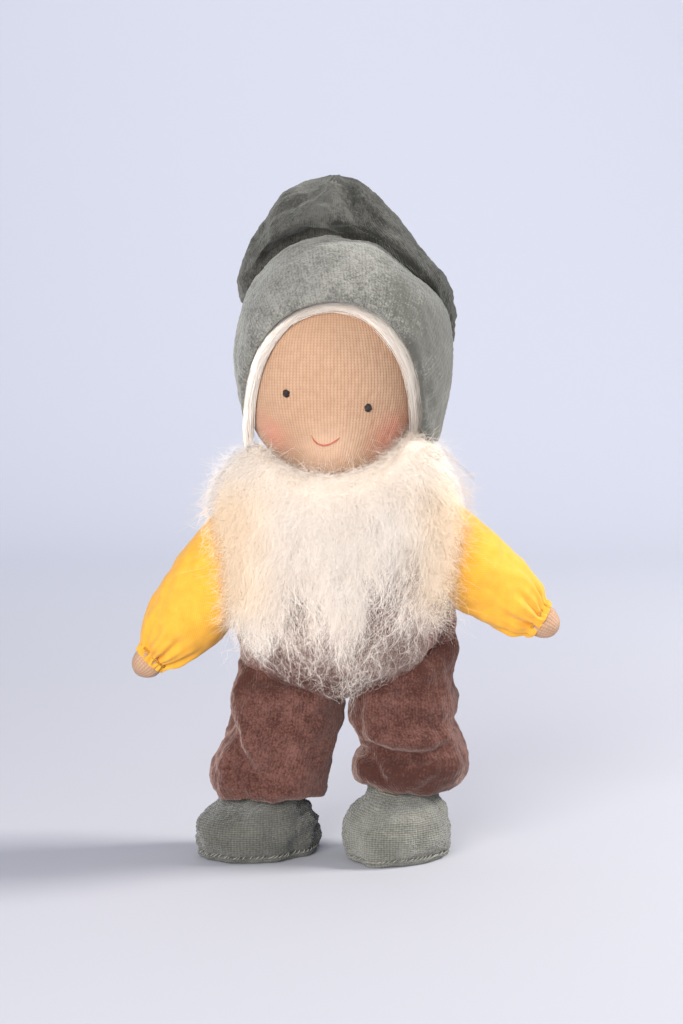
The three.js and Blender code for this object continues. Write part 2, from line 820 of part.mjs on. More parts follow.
function bootRing(boot, z, share, towardShaft, grow) {
  const points = [];
  for (let i = 0; i < bodySides; i += 1) {
    const turn = (2 * Math.PI * i) / bodySides;
    const lengthwise = ((bootLength / 2) * share + grow) * Math.cos(turn) + toeOffset;
    const sideways = ((bootWidth / 2) * share + grow) * Math.sin(turn);
    const shaftX = (shaftRadius + grow) * Math.cos(turn);
    const shaftY = (shaftRadius + grow) * Math.sin(turn);
    const along = THREE.MathUtils.lerp(lengthwise, shaftX, towardShaft);
    const across = THREE.MathUtils.lerp(sideways, shaftY, towardShaft);
    points.push(corner(
      boot.x - along * Math.sin(boot.yaw) + across * Math.cos(boot.yaw),
      ankleY - along * Math.cos(boot.yaw) - across * Math.sin(boot.yaw),
      z,
    ));
  }
  return points;
}

function bootRings(boot, grow, bottomZ) {
  const rings = upperRingShares.map(([height, share, towardShaft]) => {
    const z = bottomZ + (bootHeight + grow - bottomZ) * height;
    return bootRing(boot, z, share, towardShaft, grow);
  });
  rings.push(bootRing(boot, bootHeight + velourThickness / 2 + grow, 1, 1, grow));
  rings.push(bootRing(boot, shaftTopZ + grow, 1, 1, grow));
  return rings;
}

function addBoot(name, x, yawDeg) {
  const boot = { x, yaw: radians(yawDeg) };
  const upperBottom = soleThickness + seamGap;
  const outer = toSolid(stackRings(bootRings(boot, 0, upperBottom)));
  const innerRings = bootRings(boot, -terryThickness, upperBottom);
  innerRings[0] = bootRing(boot, upperBottom - cutOverrun, upperRingShares[0][1], 0, -terryThickness);
  const inner = toSolid(stackRings(innerRings));
  addPiece(`boot_upper_${name}`, outer.subtract(inner), terryGrey);

  const sole = toSolid(stackRings(soleRingShares.map(([height, share]) => (
    bootRing(boot, soleThickness * height, share, 0, 0)
  ))));
  addPiece(`boot_sole_${name}`, sole, terryGrey);

  const stuffing = toSolid(stackRings(bootRings(boot, -terryThickness - seamGap, upperBottom)));
  addPiece(`boot_stuffing_${name}`, stuffing, woolStuffing);

  const seam = bootRing(boot, soleThickness, seamPlaceShare, 0, threadRadius + seamGap);
  addPiece(`sole_seam_${name}`, toSolid(loopTube(seam, threadRadius, threadSides)), paleThread);
}

addBoot('right', rightAnkleX, rightBootYawDeg);
addBoot('left', leftAnkleX, leftBootYawDeg);

// Beard: fleece that lies on chest, belly and shoulders and frames the chin

const beardRingShares = [
  [0, 0.1, 0.56],
  [0.08, 0.3, 0.68],
  [0.2, 0.6, 0.88],
  [0.34, 0.83, 0.98],
  [0.5, 0.94, 1],
  [0.64, 0.99, 0.99],
  [0.76, 1, 0.97],
  [0.88, 0.9, 0.94],
  [1, 0.74, 0.88],
];

const beardRings = beardRingShares.map(([height, width, front]) => {
  const z = beardTipZ + (beardTopZ - beardTipZ) * height;
  const frontY = beardFrontY * front;
  const halfDepth = (beardBackY - frontY) / 2;
  return ring(beardX, frontY + halfDepth, z, beardHalfWidth * width, halfDepth, bodySides);
});

const sleeveClear = (side, wristX, wristZ, sleeveShares) => (
  toSolid(stackRings(armRings(side, wristX, wristZ, seamGap, sleeveShares)))
);

const faceColumn = (() => {
  const outline = new THREE.Shape();
  outline.absellipse(headX, headZ, headHalfWidth + seamGap, headHalfHeight + seamGap, 0, 2 * Math.PI, false, 0);
  const geometry = new THREE.ExtrudeGeometry(outline, {
    depth: headHalfDepth * 2,
    bevelEnabled: false,
    curveSegments: archSegments,
  });
  geometry.rotateX(Math.PI / 2);
  return toSolid(faceOut(geometry));
})();

let beard = toSolid(stackRings(beardRings));
const neckClear = turnedAboutZ([
  [0, neckRootZ],
  [neckRadius + 2 * (seamGap + threadRadius) + seamGap, neckRootZ],
  [neckRadius + 2 * (seamGap + threadRadius) + seamGap, neckPivotZ],
  [0, neckPivotZ],
], neckX, 0, limbSides);
[
  torsoClear,
  headForm(seamGap),
  headForm(fleeceBandThickness + 2 * seamGap).intersect(bandArch),
  faceColumn,
  hoodForm(seamGap).subtract(hoodHemCut.translate([0, 0, -seamGap])),
  neckClear,
  toSolid(stackRings(legRings(-1, rightLegWidth, rightHemZ, rightLegShares, seamGap))),
  toSolid(stackRings(legRings(1, leftLegWidth, leftHemZ, leftLegShares, seamGap))),
  sleeveClear(-1, rightWristX, rightWristZ, rightSleeveShares),
  sleeveClear(1, leftWristX, leftWristZ, leftSleeveShares),
].forEach((cutter) => {
  beard = beard.subtract(cutter);
});
addPiece('beard_fleece', largestPiece(beard), fleeceCream);

export default doll;
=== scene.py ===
# A soft gnome doll that stands on its boots. Metres, +Z up, the doll faces -Y.
# Right and left are the doll's own, so its right arm and leg are on the -X side.
import math

import bmesh
import bpy
import numpy as np
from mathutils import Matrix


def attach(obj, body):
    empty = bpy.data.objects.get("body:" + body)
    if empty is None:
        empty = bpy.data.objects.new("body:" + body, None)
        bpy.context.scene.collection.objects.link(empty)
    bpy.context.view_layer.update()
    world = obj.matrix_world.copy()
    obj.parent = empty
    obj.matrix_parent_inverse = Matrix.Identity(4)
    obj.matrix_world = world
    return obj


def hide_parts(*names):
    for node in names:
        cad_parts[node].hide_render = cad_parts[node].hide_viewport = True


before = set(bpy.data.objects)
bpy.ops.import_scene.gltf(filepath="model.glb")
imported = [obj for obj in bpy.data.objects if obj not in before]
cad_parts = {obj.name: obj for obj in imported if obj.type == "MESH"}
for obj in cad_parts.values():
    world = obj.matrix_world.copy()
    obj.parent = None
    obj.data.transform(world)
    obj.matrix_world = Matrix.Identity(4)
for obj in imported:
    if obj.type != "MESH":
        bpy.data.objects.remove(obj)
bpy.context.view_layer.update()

mm = 0.001

# Camera, floor and studio light
# A portrait lens stands a little above the doll and looks slightly down at it.
# The floor runs into the backdrop in one soft curve. Two square soft lamps light the doll, and
# a third lights the wall behind it.

camera_distance = 0.88
camera_tilt = math.radians(5.5)
camera_aim = (-1.6 * mm, 0.0, 121.5 * mm)
camera_lens = 88.0

camera_data = bpy.data.cameras.new("camera")
camera_data.lens = camera_lens
camera_data.sensor_width = 36.0
camera = bpy.data.objects.new("camera", camera_data)
bpy.context.scene.collection.objects.link(camera)
camera.location = (
    camera_aim[0],
    -camera_distance * math.cos(camera_tilt),
    camera_aim[2] + camera_distance * math.sin(camera_tilt),
)
camera.rotation_euler = (math.pi / 2 - camera_tilt, 0.0, 0.0)
bpy.context.scene.camera = camera
bpy.context.scene.view_settings.view_transform = "Standard"


def mesh_piece(name, material, points, faces):
    """A new smooth mesh object from a material, an array of points and an array of faces."""
    mesh = bpy.data.meshes.new(name)
    mesh.from_pydata(np.asarray(points).reshape(-1, 3).tolist(), [], np.asarray(faces).tolist())
    mesh.update()
    mesh.shade_smooth()
    mesh.materials.append(material)
    piece = bpy.data.objects.new(name, mesh)
    bpy.context.scene.collection.objects.link(piece)
    return piece


def grid_faces(rows, columns, wrap=False):
    """Quads of a grid of rows by columns of points, joined round in the second direction if wrap."""
    last = columns if wrap else columns - 1
    row, column = np.meshgrid(np.arange(rows - 1), np.arange(last), indexing="ij")
    after = (column + 1) % columns
    first, second = row * columns + column, row * columns + after
    third, fourth = (row + 1) * columns + after, (row + 1) * columns + column
    return np.stack([first, second, third, fourth], axis=-1).reshape(-1, 4)


def new_material(name, roughness):
    """A material and its Principled shader, with nodes to build on."""
    material = bpy.data.materials.new(name)
    material.use_nodes = True
    shader = material.node_tree.nodes["Principled BSDF"]
    shader.inputs["Roughness"].default_value = roughness
    return material, material.node_tree, shader


def added(tree, kind, inputs=None, **settings):
    """A new node with its settings. Each named input is linked to an output or holds a value."""
    node = tree.nodes.new("ShaderNode" + kind)
    for name, value in settings.items():
        setattr(node, name, value)
    for name, value in (inputs or {}).items():
        if isinstance(value, bpy.types.NodeSocket):
            tree.links.new(value, node.inputs[name])
        else:
            node.inputs[name].default_value = value
    return node


def toned(tree, mask, dark, light):
    """A colour that goes from dark to light as a mask goes from 0 to 1."""
    mix = added(tree, "Mix", {"Factor": mask, "A": dark, "B": light}, data_type="RGBA")
    return mix.outputs["Result"]


def give_relief(tree, shader, height, strength, distance):
    """Bends a shader's normal by a height, which stands for a distance in metres."""
    bump = added(tree, "Bump", {"Height": height, "Strength": strength, "Distance": distance})
    tree.links.new(bump.outputs["Normal"], shader.inputs["Normal"])


def light_panel(name, place, aim, size, watts, colour):
    """A square soft lamp at place that looks at aim."""
    data = bpy.data.lights.new(name, "AREA")
    data.shape = "SQUARE"
    data.size = size
    data.energy = watts
    data.color = colour
    lamp = bpy.data.objects.new(name, data)
    bpy.context.scene.collection.objects.link(lamp)
    lamp.location = place
    toward = np.array(aim) - np.array(place)
    flat = math.hypot(toward[0], toward[1])
    lamp.rotation_euler = (math.atan2(flat, -toward[2]), 0.0, math.atan2(-toward[0], toward[1]))
    return lamp


light_panel("key_lamp", (0.95, 0.10, 0.80), (0.0, 0.0, 0.06), 0.34, 17.0, (1.0, 0.985, 0.95))
light_panel("front_lamp", (-0.40, -1.15, 0.45), (0.0, 0.0, 0.12), 0.7, 18.0, (1.0, 0.985, 0.96))
light_panel("wall_lamp", (0.0, 0.55, 1.5), (0.0, 1.6, 0.9), 1.0, 5.0, (0.97, 0.97, 0.97))

world = bpy.data.worlds.new("studio")
world.use_nodes = True
world.node_tree.nodes["Background"].inputs["Color"].default_value = (0.77, 0.83, 1.02, 1.0)
world.node_tree.nodes["Background"].inputs["Strength"].default_value = 0.42
bpy.context.scene.world = world

floor_front, floor_back, bend_radius, wall_height, floor_half_width = -1.6, 0.9, 0.7, 2.4, 2.6


def backdrop_profile(steps):
    """Floor, a quarter circle and a wall, as one line of [y, z] points from front to top."""
    turn = np.linspace(0.0, math.pi / 2, steps)
    bend = np.stack([floor_back + bend_radius * np.sin(turn), bend_radius * (1 - np.cos(turn))], axis=1)
    return np.vstack([[floor_front, 0.0], bend, [floor_back + bend_radius, wall_height]])


profile = backdrop_profile(24)
across = np.array([-floor_half_width, floor_half_width])
backdrop_points = np.stack([
    np.repeat(across[None, :], len(profile), axis=0),
    np.repeat(profile[:, :1], 2, axis=1),
    np.repeat(profile[:, 1:], 2, axis=1),
], axis=-1)
backdrop_material, tree, shader = new_material("backdrop_paper", 0.8)
paper_axes = added(tree, "SeparateXYZ", {"Vector": added(tree, "TexCoord").outputs["Object"]})
paper_run = {"Value": paper_axes.outputs["Y"], "From Min": 0.1, "From Max": 1.3}
paper_shade = added(tree, "MapRange", paper_run, interpolation_type="SMOOTHSTEP").outputs["Result"]
paper_tone = toned(tree, paper_shade, (0.52, 0.52, 0.56, 1.0), (0.71, 0.72, 0.79, 1.0))
tree.links.new(paper_tone, shader.inputs["Base Color"])
paper_grain = added(tree, "TexNoise", {"Scale": 260.0}).outputs["Fac"]
give_relief(tree, shader, paper_grain, strength=0.05, distance=0.0004)
backdrop = mesh_piece("backdrop", backdrop_material, backdrop_points, grid_faces(len(profile), 2))

# Hood of the hat
# Grey-green cotton velour, cut as a bonnet round the head, with a turned hem that is slightly
# puckered round the face. The pile is short and shows the knitted rows of its ground.

hood_middle = np.array([-0.8, 0.0, 177.0])
hem_foot, hem_rise, hem_middle, hem_half = 154.5, 42.3, -4.6, 31.7
hood_dark, hood_light = (0.100, 0.098, 0.084, 1.0), (0.300, 0.292, 0.258, 1.0)
velour_row = 1.15


def drawn(table, at):
    """A table's columns at new places. Its first column is the place, and a smooth curve
    through each point, with the slope between its two neighbours, gives the other columns."""
    table = np.asarray(table, float)
    place, values = table[:, 0], table[:, 1:]
    slope = np.gradient(values, place, axis=0)
    at = np.clip(np.asarray(at, float), place[0], place[-1])
    k = np.clip(np.searchsorted(place, at, side="right") - 1, 0, len(place) - 2)
    step = (place[k + 1] - place[k])[..., None]
    t = (at - place[k])[..., None] / step
    start, end = values[k], values[k + 1]
    return (
        (2 * t**3 - 3 * t**2 + 1) * start + (t**3 - 2 * t**2 + t) * step * slope[k]
        + (3 * t**2 - 2 * t**3) * end + (t**3 - t**2) * step * slope[k + 1]
    )


def unit(vectors, guard=0.0):
    """The same directions at length 1. The guard is added to each length to keep it from 0."""
    return vectors / (np.linalg.norm(vectors, axis=-1, keepdims=True) + guard)


def waves(points, size, seed):
    """Soft random relief from about -1 to 1: the sum of sine waves, each about size long,
    that run in random directions through the points."""
    random = np.random.default_rng(seed)
    kinds = 14
    direction = random.normal(size=(kinds, 3))
    direction = unit(direction)
    pitch = direction * (2 * np.pi / size) * random.uniform(0.7, 1.5, (kinds, 1))
    phase = random.uniform(0, 2 * np.pi, kinds)
    return np.sin(np.asarray(points) @ pitch.T + phase).sum(axis=-1) / np.sqrt(kinds)


def smooth_step(low, high, value):
    """0 below low and 1 above high, with a soft run between them."""
    t = np.clip((value - low) / (high - low), 0, 1)
    return t * t * (3 - 2 * t)


def lifted(points, height):
    """A grid of points that closes on itself, each moved along the grid's normal by its height."""
    down = np.gradient(points, axis=0)
    along = (np.roll(points, -1, axis=1) - np.roll(points, 1, axis=1)) / 2
    normal = np.cross(along, down)
    normal = unit(normal, 1e-9)
    return points + normal * np.asarray(height)[..., None]


def close_poles(piece):
    """Joins the points that a grid has at one place, as at the pole of a cap."""
    joined = bmesh.new()
    joined.from_mesh(piece.data)
    bmesh.ops.remove_doubles(joined, verts=joined.verts, dist=1e-6)
    joined.to_mesh(piece.data)
    joined.free()


def cloth_piece(name, material, points, across, along):
    """A mesh from a grid of points in millimetres that closes on itself, and a UV map that counts
    the cloth's wales across and its courses along. Both are given in millimetres of cloth at each
    grid point, with one more column than the points."""
    rows, columns = points.shape[:2]
    piece = mesh_piece(name, material, points * mm, grid_faces(rows, columns, True))
    row, column = np.meshgrid(np.arange(rows - 1), np.arange(columns), indexing="ij")
    corner_rows = np.stack([row, row, row + 1, row + 1], axis=-1).reshape(-1)
    corner_columns = np.stack([column, column + 1, column + 1, column], axis=-1).reshape(-1)
    uv = np.stack([across[corner_rows, corner_columns], along[corner_rows, corner_columns]], axis=1)
    layer = piece.data.uv_layers.new(name="cloth")
    layer.data.foreach_set("uv", uv.astype(np.float32).ravel())
    close_poles(piece)
    return piece


def new_group(name, inputs, vectors=(), outputs=("Mask", "Height")):
    """A shader node group, with its input values and its output values by their names. inputs
    gives the number that each starts from, and vectors names those that are places."""
    group = bpy.data.node_groups.new(name, "ShaderNodeTree")
    for label in vectors:
        group.interface.new_socket(label, in_out="INPUT", socket_type="NodeSocketVector")
    for label, start in inputs.items():
        socket = group.interface.new_socket(label, in_out="INPUT", socket_type="NodeSocketFloat")
        socket.default_value = start
    for label in outputs:
        group.interface.new_socket(label, in_out="OUTPUT", socket_type="NodeSocketFloat")
    into, out = group.nodes.new("NodeGroupInput"), group.nodes.new("NodeGroupOutput")
    return group, into.outputs, out.inputs


def calculator(tree):
    """A function that adds a step of arithmetic to a tree and gives the step's result. Each of its
    terms is a number or another node's output."""

    def calc(operation, *terms):
        """One step: the operation on its terms."""
        step = tree.nodes.new("ShaderNodeMath")
        step.operation = operation
        for socket, term in zip(step.inputs, terms):
            if isinstance(term, bpy.types.NodeSocket):
                tree.links.new(term, socket)
            else:
                socket.default_value = term
        return step.outputs[0]

    return calc


def cloud(tree, scale, detail=2.0, roughness=0.5):
    """Soft noise through the object."""
    place = added(tree, "TexCoord").outputs["Object"]
    inputs = {"Vector": place, "Scale": scale, "Detail": detail, "Roughness": roughness}
    return added(tree, "TexNoise", inputs).outputs["Fac"]


def cloth_axes(tree):
    """How far a place lies across its cloth and along it, in millimetres from the UV map."""
    cloth = added(tree, "UVMap", uv_map="cloth").outputs["UV"]
    split = added(tree, "SeparateXYZ", {"Vector": cloth})
    return split.outputs["X"], split.outputs["Y"]


def stored(tree, name):
    """A value that a mesh stores at its points."""
    return added(tree, "Attribute", attribute_name=name).outputs["Fac"]


def velour_group():
    """Cut pile over knitted rows: a mask from dark to light, and a height for the bump.
    Fine noise is the fibre ends, broad noise is pile that lies this way and that, and a soft
    wave across the cloth is the rows of the ground."""
    group, into, out = new_group("velour_pile", {"Rows": 0.0})
    calc = calculator(group)
    fibre, tuft = cloud(group, 1500.0, 2.0, 0.7), cloud(group, 620.0, 2.0, 0.6)
    pile_tone = cloud(group, 95.0, 3.0, 0.55)
    across, _ = cloth_axes(group)
    wander = calc("MULTIPLY_ADD", tuft, 0.5, across)
    row_wave = calc("SINE", calc("MULTIPLY", wander, 2 * math.pi / velour_row))
    row = calc("MULTIPLY", calc("MULTIPLY", row_wave, into["Rows"]), pile_tone)
    pile_lightness = calc("MULTIPLY_ADD", tuft, 1.3, calc("MULTIPLY_ADD", pile_tone, 1.25, -1.95))
    mask = calc("ADD", calc("MULTIPLY_ADD", fibre, 2.3, pile_lightness), calc("MULTIPLY", row, 0.45))
    group.links.new(mask, out["Mask"])
    pile = calc("MULTIPLY_ADD", fibre, 0.55, calc("MULTIPLY", tuft, 0.75))
    group.links.new(calc("ADD", pile, calc("MULTIPLY", row, 0.5)), out["Height"])
    return group


velour_pile = velour_group()


def store(piece, name, values):
    """Stores a value for each point of a mesh, for its material to read."""
    layer = piece.data.attributes.new(name, "FLOAT", "POINT")
    layer.data.foreach_set("value", values.reshape(-1).astype(np.float32))


def store_pile_tone(piece, pile_tone):
    """Stores a tone at each point, from -1 for dark to 1 for light: pile that lies this way and
    that, with painted shade and painted light. It is worked out from the points in millimetres."""
    flat = np.empty(len(piece.data.vertices) * 3, np.float32)
    piece.data.vertices.foreach_get("co", flat)
    store(piece, "pile_tone", pile_tone(flat.reshape(-1, 3) / mm))


def colour_cloth(tree, shader, colour, sheen, shine):
    """Gives cloth its colour, the sheen of its fibres and a low shine."""
    tree.links.new(colour, shader.inputs["Base Color"])
    shader.inputs["Sheen Weight"].default_value = sheen
    shader.inputs["Specular IOR Level"].default_value = shine


def velour_material(name, dark, light, rows, sheen_tint):
    """Velour in a cloth colour, darker or lighter by the tone stored at its points, which holds
    painted shade and painted light. Its sheen is the pile's lit edge.
    """
    material, tree, shader = new_material(name, 0.95)
    pile = added(tree, "Group", {"Rows": rows}, node_tree=velour_pile).outputs
    pile_lightness = calculator(tree)("ADD", pile["Mask"], stored(tree, "pile_tone"))
    pile_lightness.node.use_clamp = True
    give_relief(tree, shader, pile["Height"], strength=0.8, distance=0.0005)
    colour_cloth(tree, shader, toned(tree, pile_lightness, dark, light), sheen=0.55, shine=0.15)
    shader.inputs["Sheen Roughness"].default_value = 0.45
    shader.inputs["Sheen Tint"].default_value = sheen_tint
    return material


hood_profile = [
    [143, 31.8, 33.0], [151.5, 34.0, 34.4], [161.5, 36.4, 36.8], [172.5, 37.9, 38.0],
    [184.4, 37.4, 37.4], [195.4, 34.0, 34.4], [204.2, 28.2, 28.6], [210.9, 20.8, 21.4],
    [215.4, 12.4, 13.0], [217.6, 4.2, 4.6],
]
hood_top = hood_profile[-1][0]


def hood_measure(points):
    """Below 1 for a point inside the hood, whose level slices are ellipses, and above 1 outside."""
    size = drawn(hood_profile, points[..., 2])
    middle_x = hood_middle[0] - 3.2 * smooth_step(193, hood_top, points[..., 2])
    across = (points[..., 0] - middle_x) / size[..., 0]
    along = points[..., 1] / size[..., 1]
    return across**2 + along**2 + np.maximum(points[..., 2] - hood_top, 0)


def reach(middle, direction, measure):
    """How far from middle each direction runs before the measure passes 1, found by halving."""
    low, high = np.zeros(direction.shape[:-1]), np.full(direction.shape[:-1], 90.0)
    for _ in range(26):
        half = (low + high) / 2
        within = measure(middle + direction * half[..., None]) < 1
        low, high = np.where(within, half, low), np.where(within, high, half)
    return low


def hood_edge(columns):
    """The hem as a closed line on the hood: an arch round the face, from the doll's left over
    the top to its right, and then a nearly level line round the nape."""
    front = columns * 5 // 8
    turn = np.linspace(0, np.pi, front, endpoint=False)
    arch_z = hem_foot + hem_rise * np.maximum(np.sin(turn), 0) ** 0.8
    arch_x = hem_middle + hem_half * np.cos(turn)
    half_width = drawn(hood_profile, arch_z)[:, 0]
    arch_round = np.arcsin(np.clip((arch_x - hood_middle[0]) / half_width, -1, 1))
    share = np.linspace(0, 1, columns - front, endpoint=False)
    ends = np.arcsin((-36.3 + 0.8) / 36.0), np.arcsin((27.1 + 0.8) / 36.0) - 2 * np.pi
    nape_round = ends[0] + (ends[1] - ends[0]) * share
    nape = [[0, 154.5], [0.05, 152.6], [0.3, 152], [0.5, 153.5], [0.75, 150.5], [0.94, 148], [1, 153]]
    nape_z = drawn(nape, share)[:, 0]
    azimuth, z = np.append(arch_round, nape_round), np.append(arch_z, nape_z)
    size = drawn(hood_profile, z)
    x = hood_middle[0] + size[:, 0] * np.sin(azimuth)
    line = np.stack([x, -size[:, 1] * np.cos(azimuth), z], axis=1)
    return line[::-1]


def bonnet(columns, rows):
    """The hood as rows of points from its turned hem to a pole at the back of the crown.
    Each row turns the hem's directions further towards the pole, and lies on the hood's form."""
    hem = hood_edge(columns) - hood_middle
    hem = unit(hem)
    pole = np.array([-0.05, 0.86, 0.5])
    pole /= np.linalg.norm(pole)
    angle = np.arccos(np.clip(hem @ pole, -1, 1))
    hem_rows = np.array([
        [0.10, -2.5], [0.06, -2.5], [0.03, -2.45], [0.008, -2.2], [-0.006, -1.7],
        [-0.012, -1.1], [-0.010, -0.5], [-0.001, -0.1], [0.012, 0.15], [0.026, 0.2],
    ])
    share = np.append(hem_rows[:, 0], np.linspace(0.04, 1.0, rows))
    offset = np.append(hem_rows[:, 1], 0.2 * np.exp(-np.linspace(0.014, 0.97, rows) / 0.04))
    turned = share[:, None] * angle[None, :]
    direction = (
        np.sin(angle[None, :] - turned)[..., None] * hem[None, :, :] + np.sin(turned)[..., None] * pole
    ) / np.sin(angle)[None, :, None]
    direction = unit(direction)
    distance = reach(hood_middle, direction, hood_measure)
    return hood_middle + direction * (distance + offset[:, None])[..., None], share


hood_points, hood_share = bonnet(300, 110)
hem_near = np.exp(-np.maximum(hood_share, 0) / 0.07)[:, None]
hem_line = np.linspace(0, 1, 300, endpoint=False)
pucker_size = 0.5 + 0.5 * np.sin(hem_line * 47 + 1)
puckers = np.sin(hem_line * 2 * np.pi * 34 + 3 * np.sin(hem_line * 31)) * pucker_size
relief = (
    0.42 * hem_near * puckers[None, :] * (hood_share > 0.02)[:, None]
    + 0.5 * waves(hood_points, 24, 11) * smooth_step(0.02, 0.2, hood_share)[:, None]
    + 0.28 * waves(hood_points, 8, 12) * (0.35 + hem_near)
    + 0.10 * waves(hood_points, 2.4, 13)
)
outside = np.arange(len(hood_share)) > 5
hood_points = lifted(hood_points, np.where(outside[:, None], relief, 0.0))
hood_across = np.repeat(np.linspace(0, 190, 301)[None, :], len(hood_share), axis=0)
hood_along = np.repeat((hood_share * 76)[:, None], 301, axis=1)
hat_velour = velour_material("hat_velour", hood_dark, hood_light, 0.35, (0.8, 0.8, 0.74, 1.0))
hat_hood = cloth_piece("hat_hood_velour", hat_velour, hood_points, hood_across, hood_along)


def near_line(x, z, line):
    """Distance from each place, as seen from the front, to a line drawn through given corners."""
    line = np.asarray(line, float)
    start, step = line[:-1], np.diff(line, axis=0)
    place = np.stack([x, z], axis=-1)[..., None, :]
    share = ((place - start) * step).sum(axis=-1) / (step**2).sum(axis=-1)
    nearest = start + np.clip(share, 0, 1)[..., None] * step
    return np.sqrt(((place - nearest) ** 2).sum(axis=-1)).min(axis=-1)


def bump_along(distance, width):
    """1 on a line and a soft fall to 0 at about twice the width from it."""
    return np.exp(-(distance / width) ** 2)


pinched_line = [(-4.0, 221.0), (2.0, 220.8), (8.0, 218.6), (16.0, 213.6), (23.0, 207.0)]


def hood_pile_and_shade(points):
    """The hood's tone: painted shade where the peak's lip pinches it, darker toward the doll's left
    side and a little toward its right, and patches along the hem where the pile lies this way and that."""
    x, z = points[:, 0], points[:, 2]
    patches = waves(points, 11, 14) * smooth_step(215, 196, z)
    pinch_shade = bump_along(near_line(x, z, pinched_line), 1.2) * smooth_step(10, 0, points[:, 1])
    sides = 0.85 * smooth_step(4, 32, x) + 0.12 * smooth_step(-20, -38, x)
    return 0.14 - 0.9 * pinch_shade - sides + 0.13 * patches


store_pile_tone(hat_hood, hood_pile_and_shade)
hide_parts("hat_hood", "hat_wadding")
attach(hat_hood, "head")

# Peak of the hat
# The empty end of the same velour, a soft pouch that stands up behind the crown and folds
# forward over it. Its tip is gathered, and its lower edge is a fold that runs round the crown.

peak_outline = [
    [180, -36.2, 37.6, -8, 38.0], [188, -37.6, 39.2, -9, 39.0], [196, -37.6, 38.8, -10, 39.2],
    [202, -36.9, 36.4, -11, 38.6], [209, -35.4, 32.0, -12, 37.2], [216, -32.6, 25.4, -12.4, 34.8],
    [223, -28.4, 19.0, -11, 31.0], [229, -23.4, 14.6, -8.6, 26.4], [234, -17.6, 10.8, -5.6, 21.4],
    [236.6, -12.0, 7.2, -2.6, 16.6], [238.0, -7.6, 3.6, 0.4, 12.6], [238.8, -3.2, 0.4, 3.6, 8.8],
]


def shaded(colour, share):
    """A colour with its red, green and blue multiplied by a share."""
    return [value * share for value in colour[:3]] + [1.0]


def full_turn(steps):
    """Angles that go once round in equal steps, without the last, which is the first again."""
    return np.linspace(0, 2 * np.pi, steps, endpoint=False)


def peak_grid(columns, rows):
    """Level rings of the peak from its lower fold to the tip. Left, right, front and back of a
    ring come from the outline, and the lower fold turns inward and sits lower on the doll's left."""
    fold = np.array([[6.0, -4.2], [2.6, -3.4], [0.6, -2.2], [0.0, -1.0], [0.7, -0.2]])
    bottom, top = peak_outline[0][0], peak_outline[-1][0]
    height = np.append(fold[:, 0] + bottom, np.linspace(bottom + 2, top, rows))
    inset = np.append(fold[:, 1], np.zeros(rows))
    left, right, front, back = drawn(peak_outline, height).T
    turn = full_turn(columns)[None, :]
    middle_x, half_x = ((left + right) / 2)[:, None], ((right - left) / 2 + inset)[:, None]
    middle_y, half_y = ((front + back) / 2)[:, None], ((back - front) / 2 + inset)[:, None]
    x = middle_x + half_x * np.cos(turn)
    y = middle_y + half_y * np.sin(turn)
    low = 1 - smooth_step(bottom, 212, height)[:, None]
    z = height[:, None] + low * (6.5 - 0.19 * x)
    tip = np.array([-1.8, 6.2, 238.9])
    points = np.stack([x, y, z], axis=-1)
    return np.concatenate([points, np.broadcast_to(tip, (1, columns, 3))]), len(fold)


peak_points, peak_fold_rows = peak_grid(320, 120)
px, py, pz = peak_points[..., 0], peak_points[..., 1], peak_points[..., 2]
facing = smooth_step(6, -6, py)
crown_line = [
    [-40, 189], [-36, 197.5], [-29, 206.5], [-18, 213.4], [-9.5, 216.6], [1, 216.4],
    [11.6, 212.2], [22, 206.0], [31.5, 197.0], [36, 188.5], [40, 179],
]
lip_line = [[-40, 1.5], [-30, 4.2], [-16, 5.6], [-6, 4.2], [4, 1.8], [14, 1.4], [40, 1.0]]
fold_line = [[-40, 5], [-30, 9], [-16, 12.5], [-6, 12], [4, 8.5], [14, 6.5], [30, 4], [40, 3]]
above = pz - drawn(crown_line, px)[..., 0]
lip_height = drawn(lip_line, px)[..., 0]
fold_depth = drawn(fold_line, px)[..., 0]
fold = smooth_step(lip_height + 2.6, lip_height - 1.4, above)
lip_span = smooth_step(-39, -24, px) * smooth_step(40, 20, px)
lip = bump_along(above - lip_height - 5.0, 5.0) * lip_span
peak_points[..., 1] += facing * (fold_depth * fold - 2.4 * lip)
slope_hollow = bump_along(np.hypot((px - 5 - 0.55 * (228 - pz)) / 7.5, (pz - 224) / 10), 1.0)
ridge_span = smooth_step(219, 227, pz) * smooth_step(241, 236, pz)
tip_ridge = bump_along(px + 5.5 - 0.12 * (238 - pz), 4.5) * ridge_span
left_dip = bump_along(np.hypot((px + 20) / 9, (pz - 229 - 0.6 * (px + 20)) / 3.2), 1.0)
tip_distance = np.sqrt((px + 3.2) ** 2 + (pz - 240) ** 2 + (0.4 * (py - 2)) ** 2)
tip_turn = np.arctan2(pz - 240, px + 3.2)
gathers = np.exp(-tip_distance / 7) * np.sin(tip_turn * 11 + 2 * np.sin(tip_turn * 3))
relief = (
    facing * (-3.2 * slope_hollow + 1.5 * tip_ridge - 1.6 * left_dip)
    + 0.55 * gathers
    + 0.9 * waves(peak_points, 26, 21) * smooth_step(0, 4, tip_distance)
    + 0.3 * waves(peak_points, 9, 22)
    + 0.12 * waves(peak_points, 2.4, 23)
)
relief[:peak_fold_rows] = 0
relief[-1] = 0
peak_points = lifted(peak_points, relief)
peak_rows, peak_columns = peak_points.shape[:2]
peak_across = np.repeat(np.linspace(0, 218, peak_columns + 1)[None, :], peak_rows, axis=0)
peak_along = np.repeat(np.linspace(0, 66, peak_rows)[:, None], peak_columns + 1, axis=1)
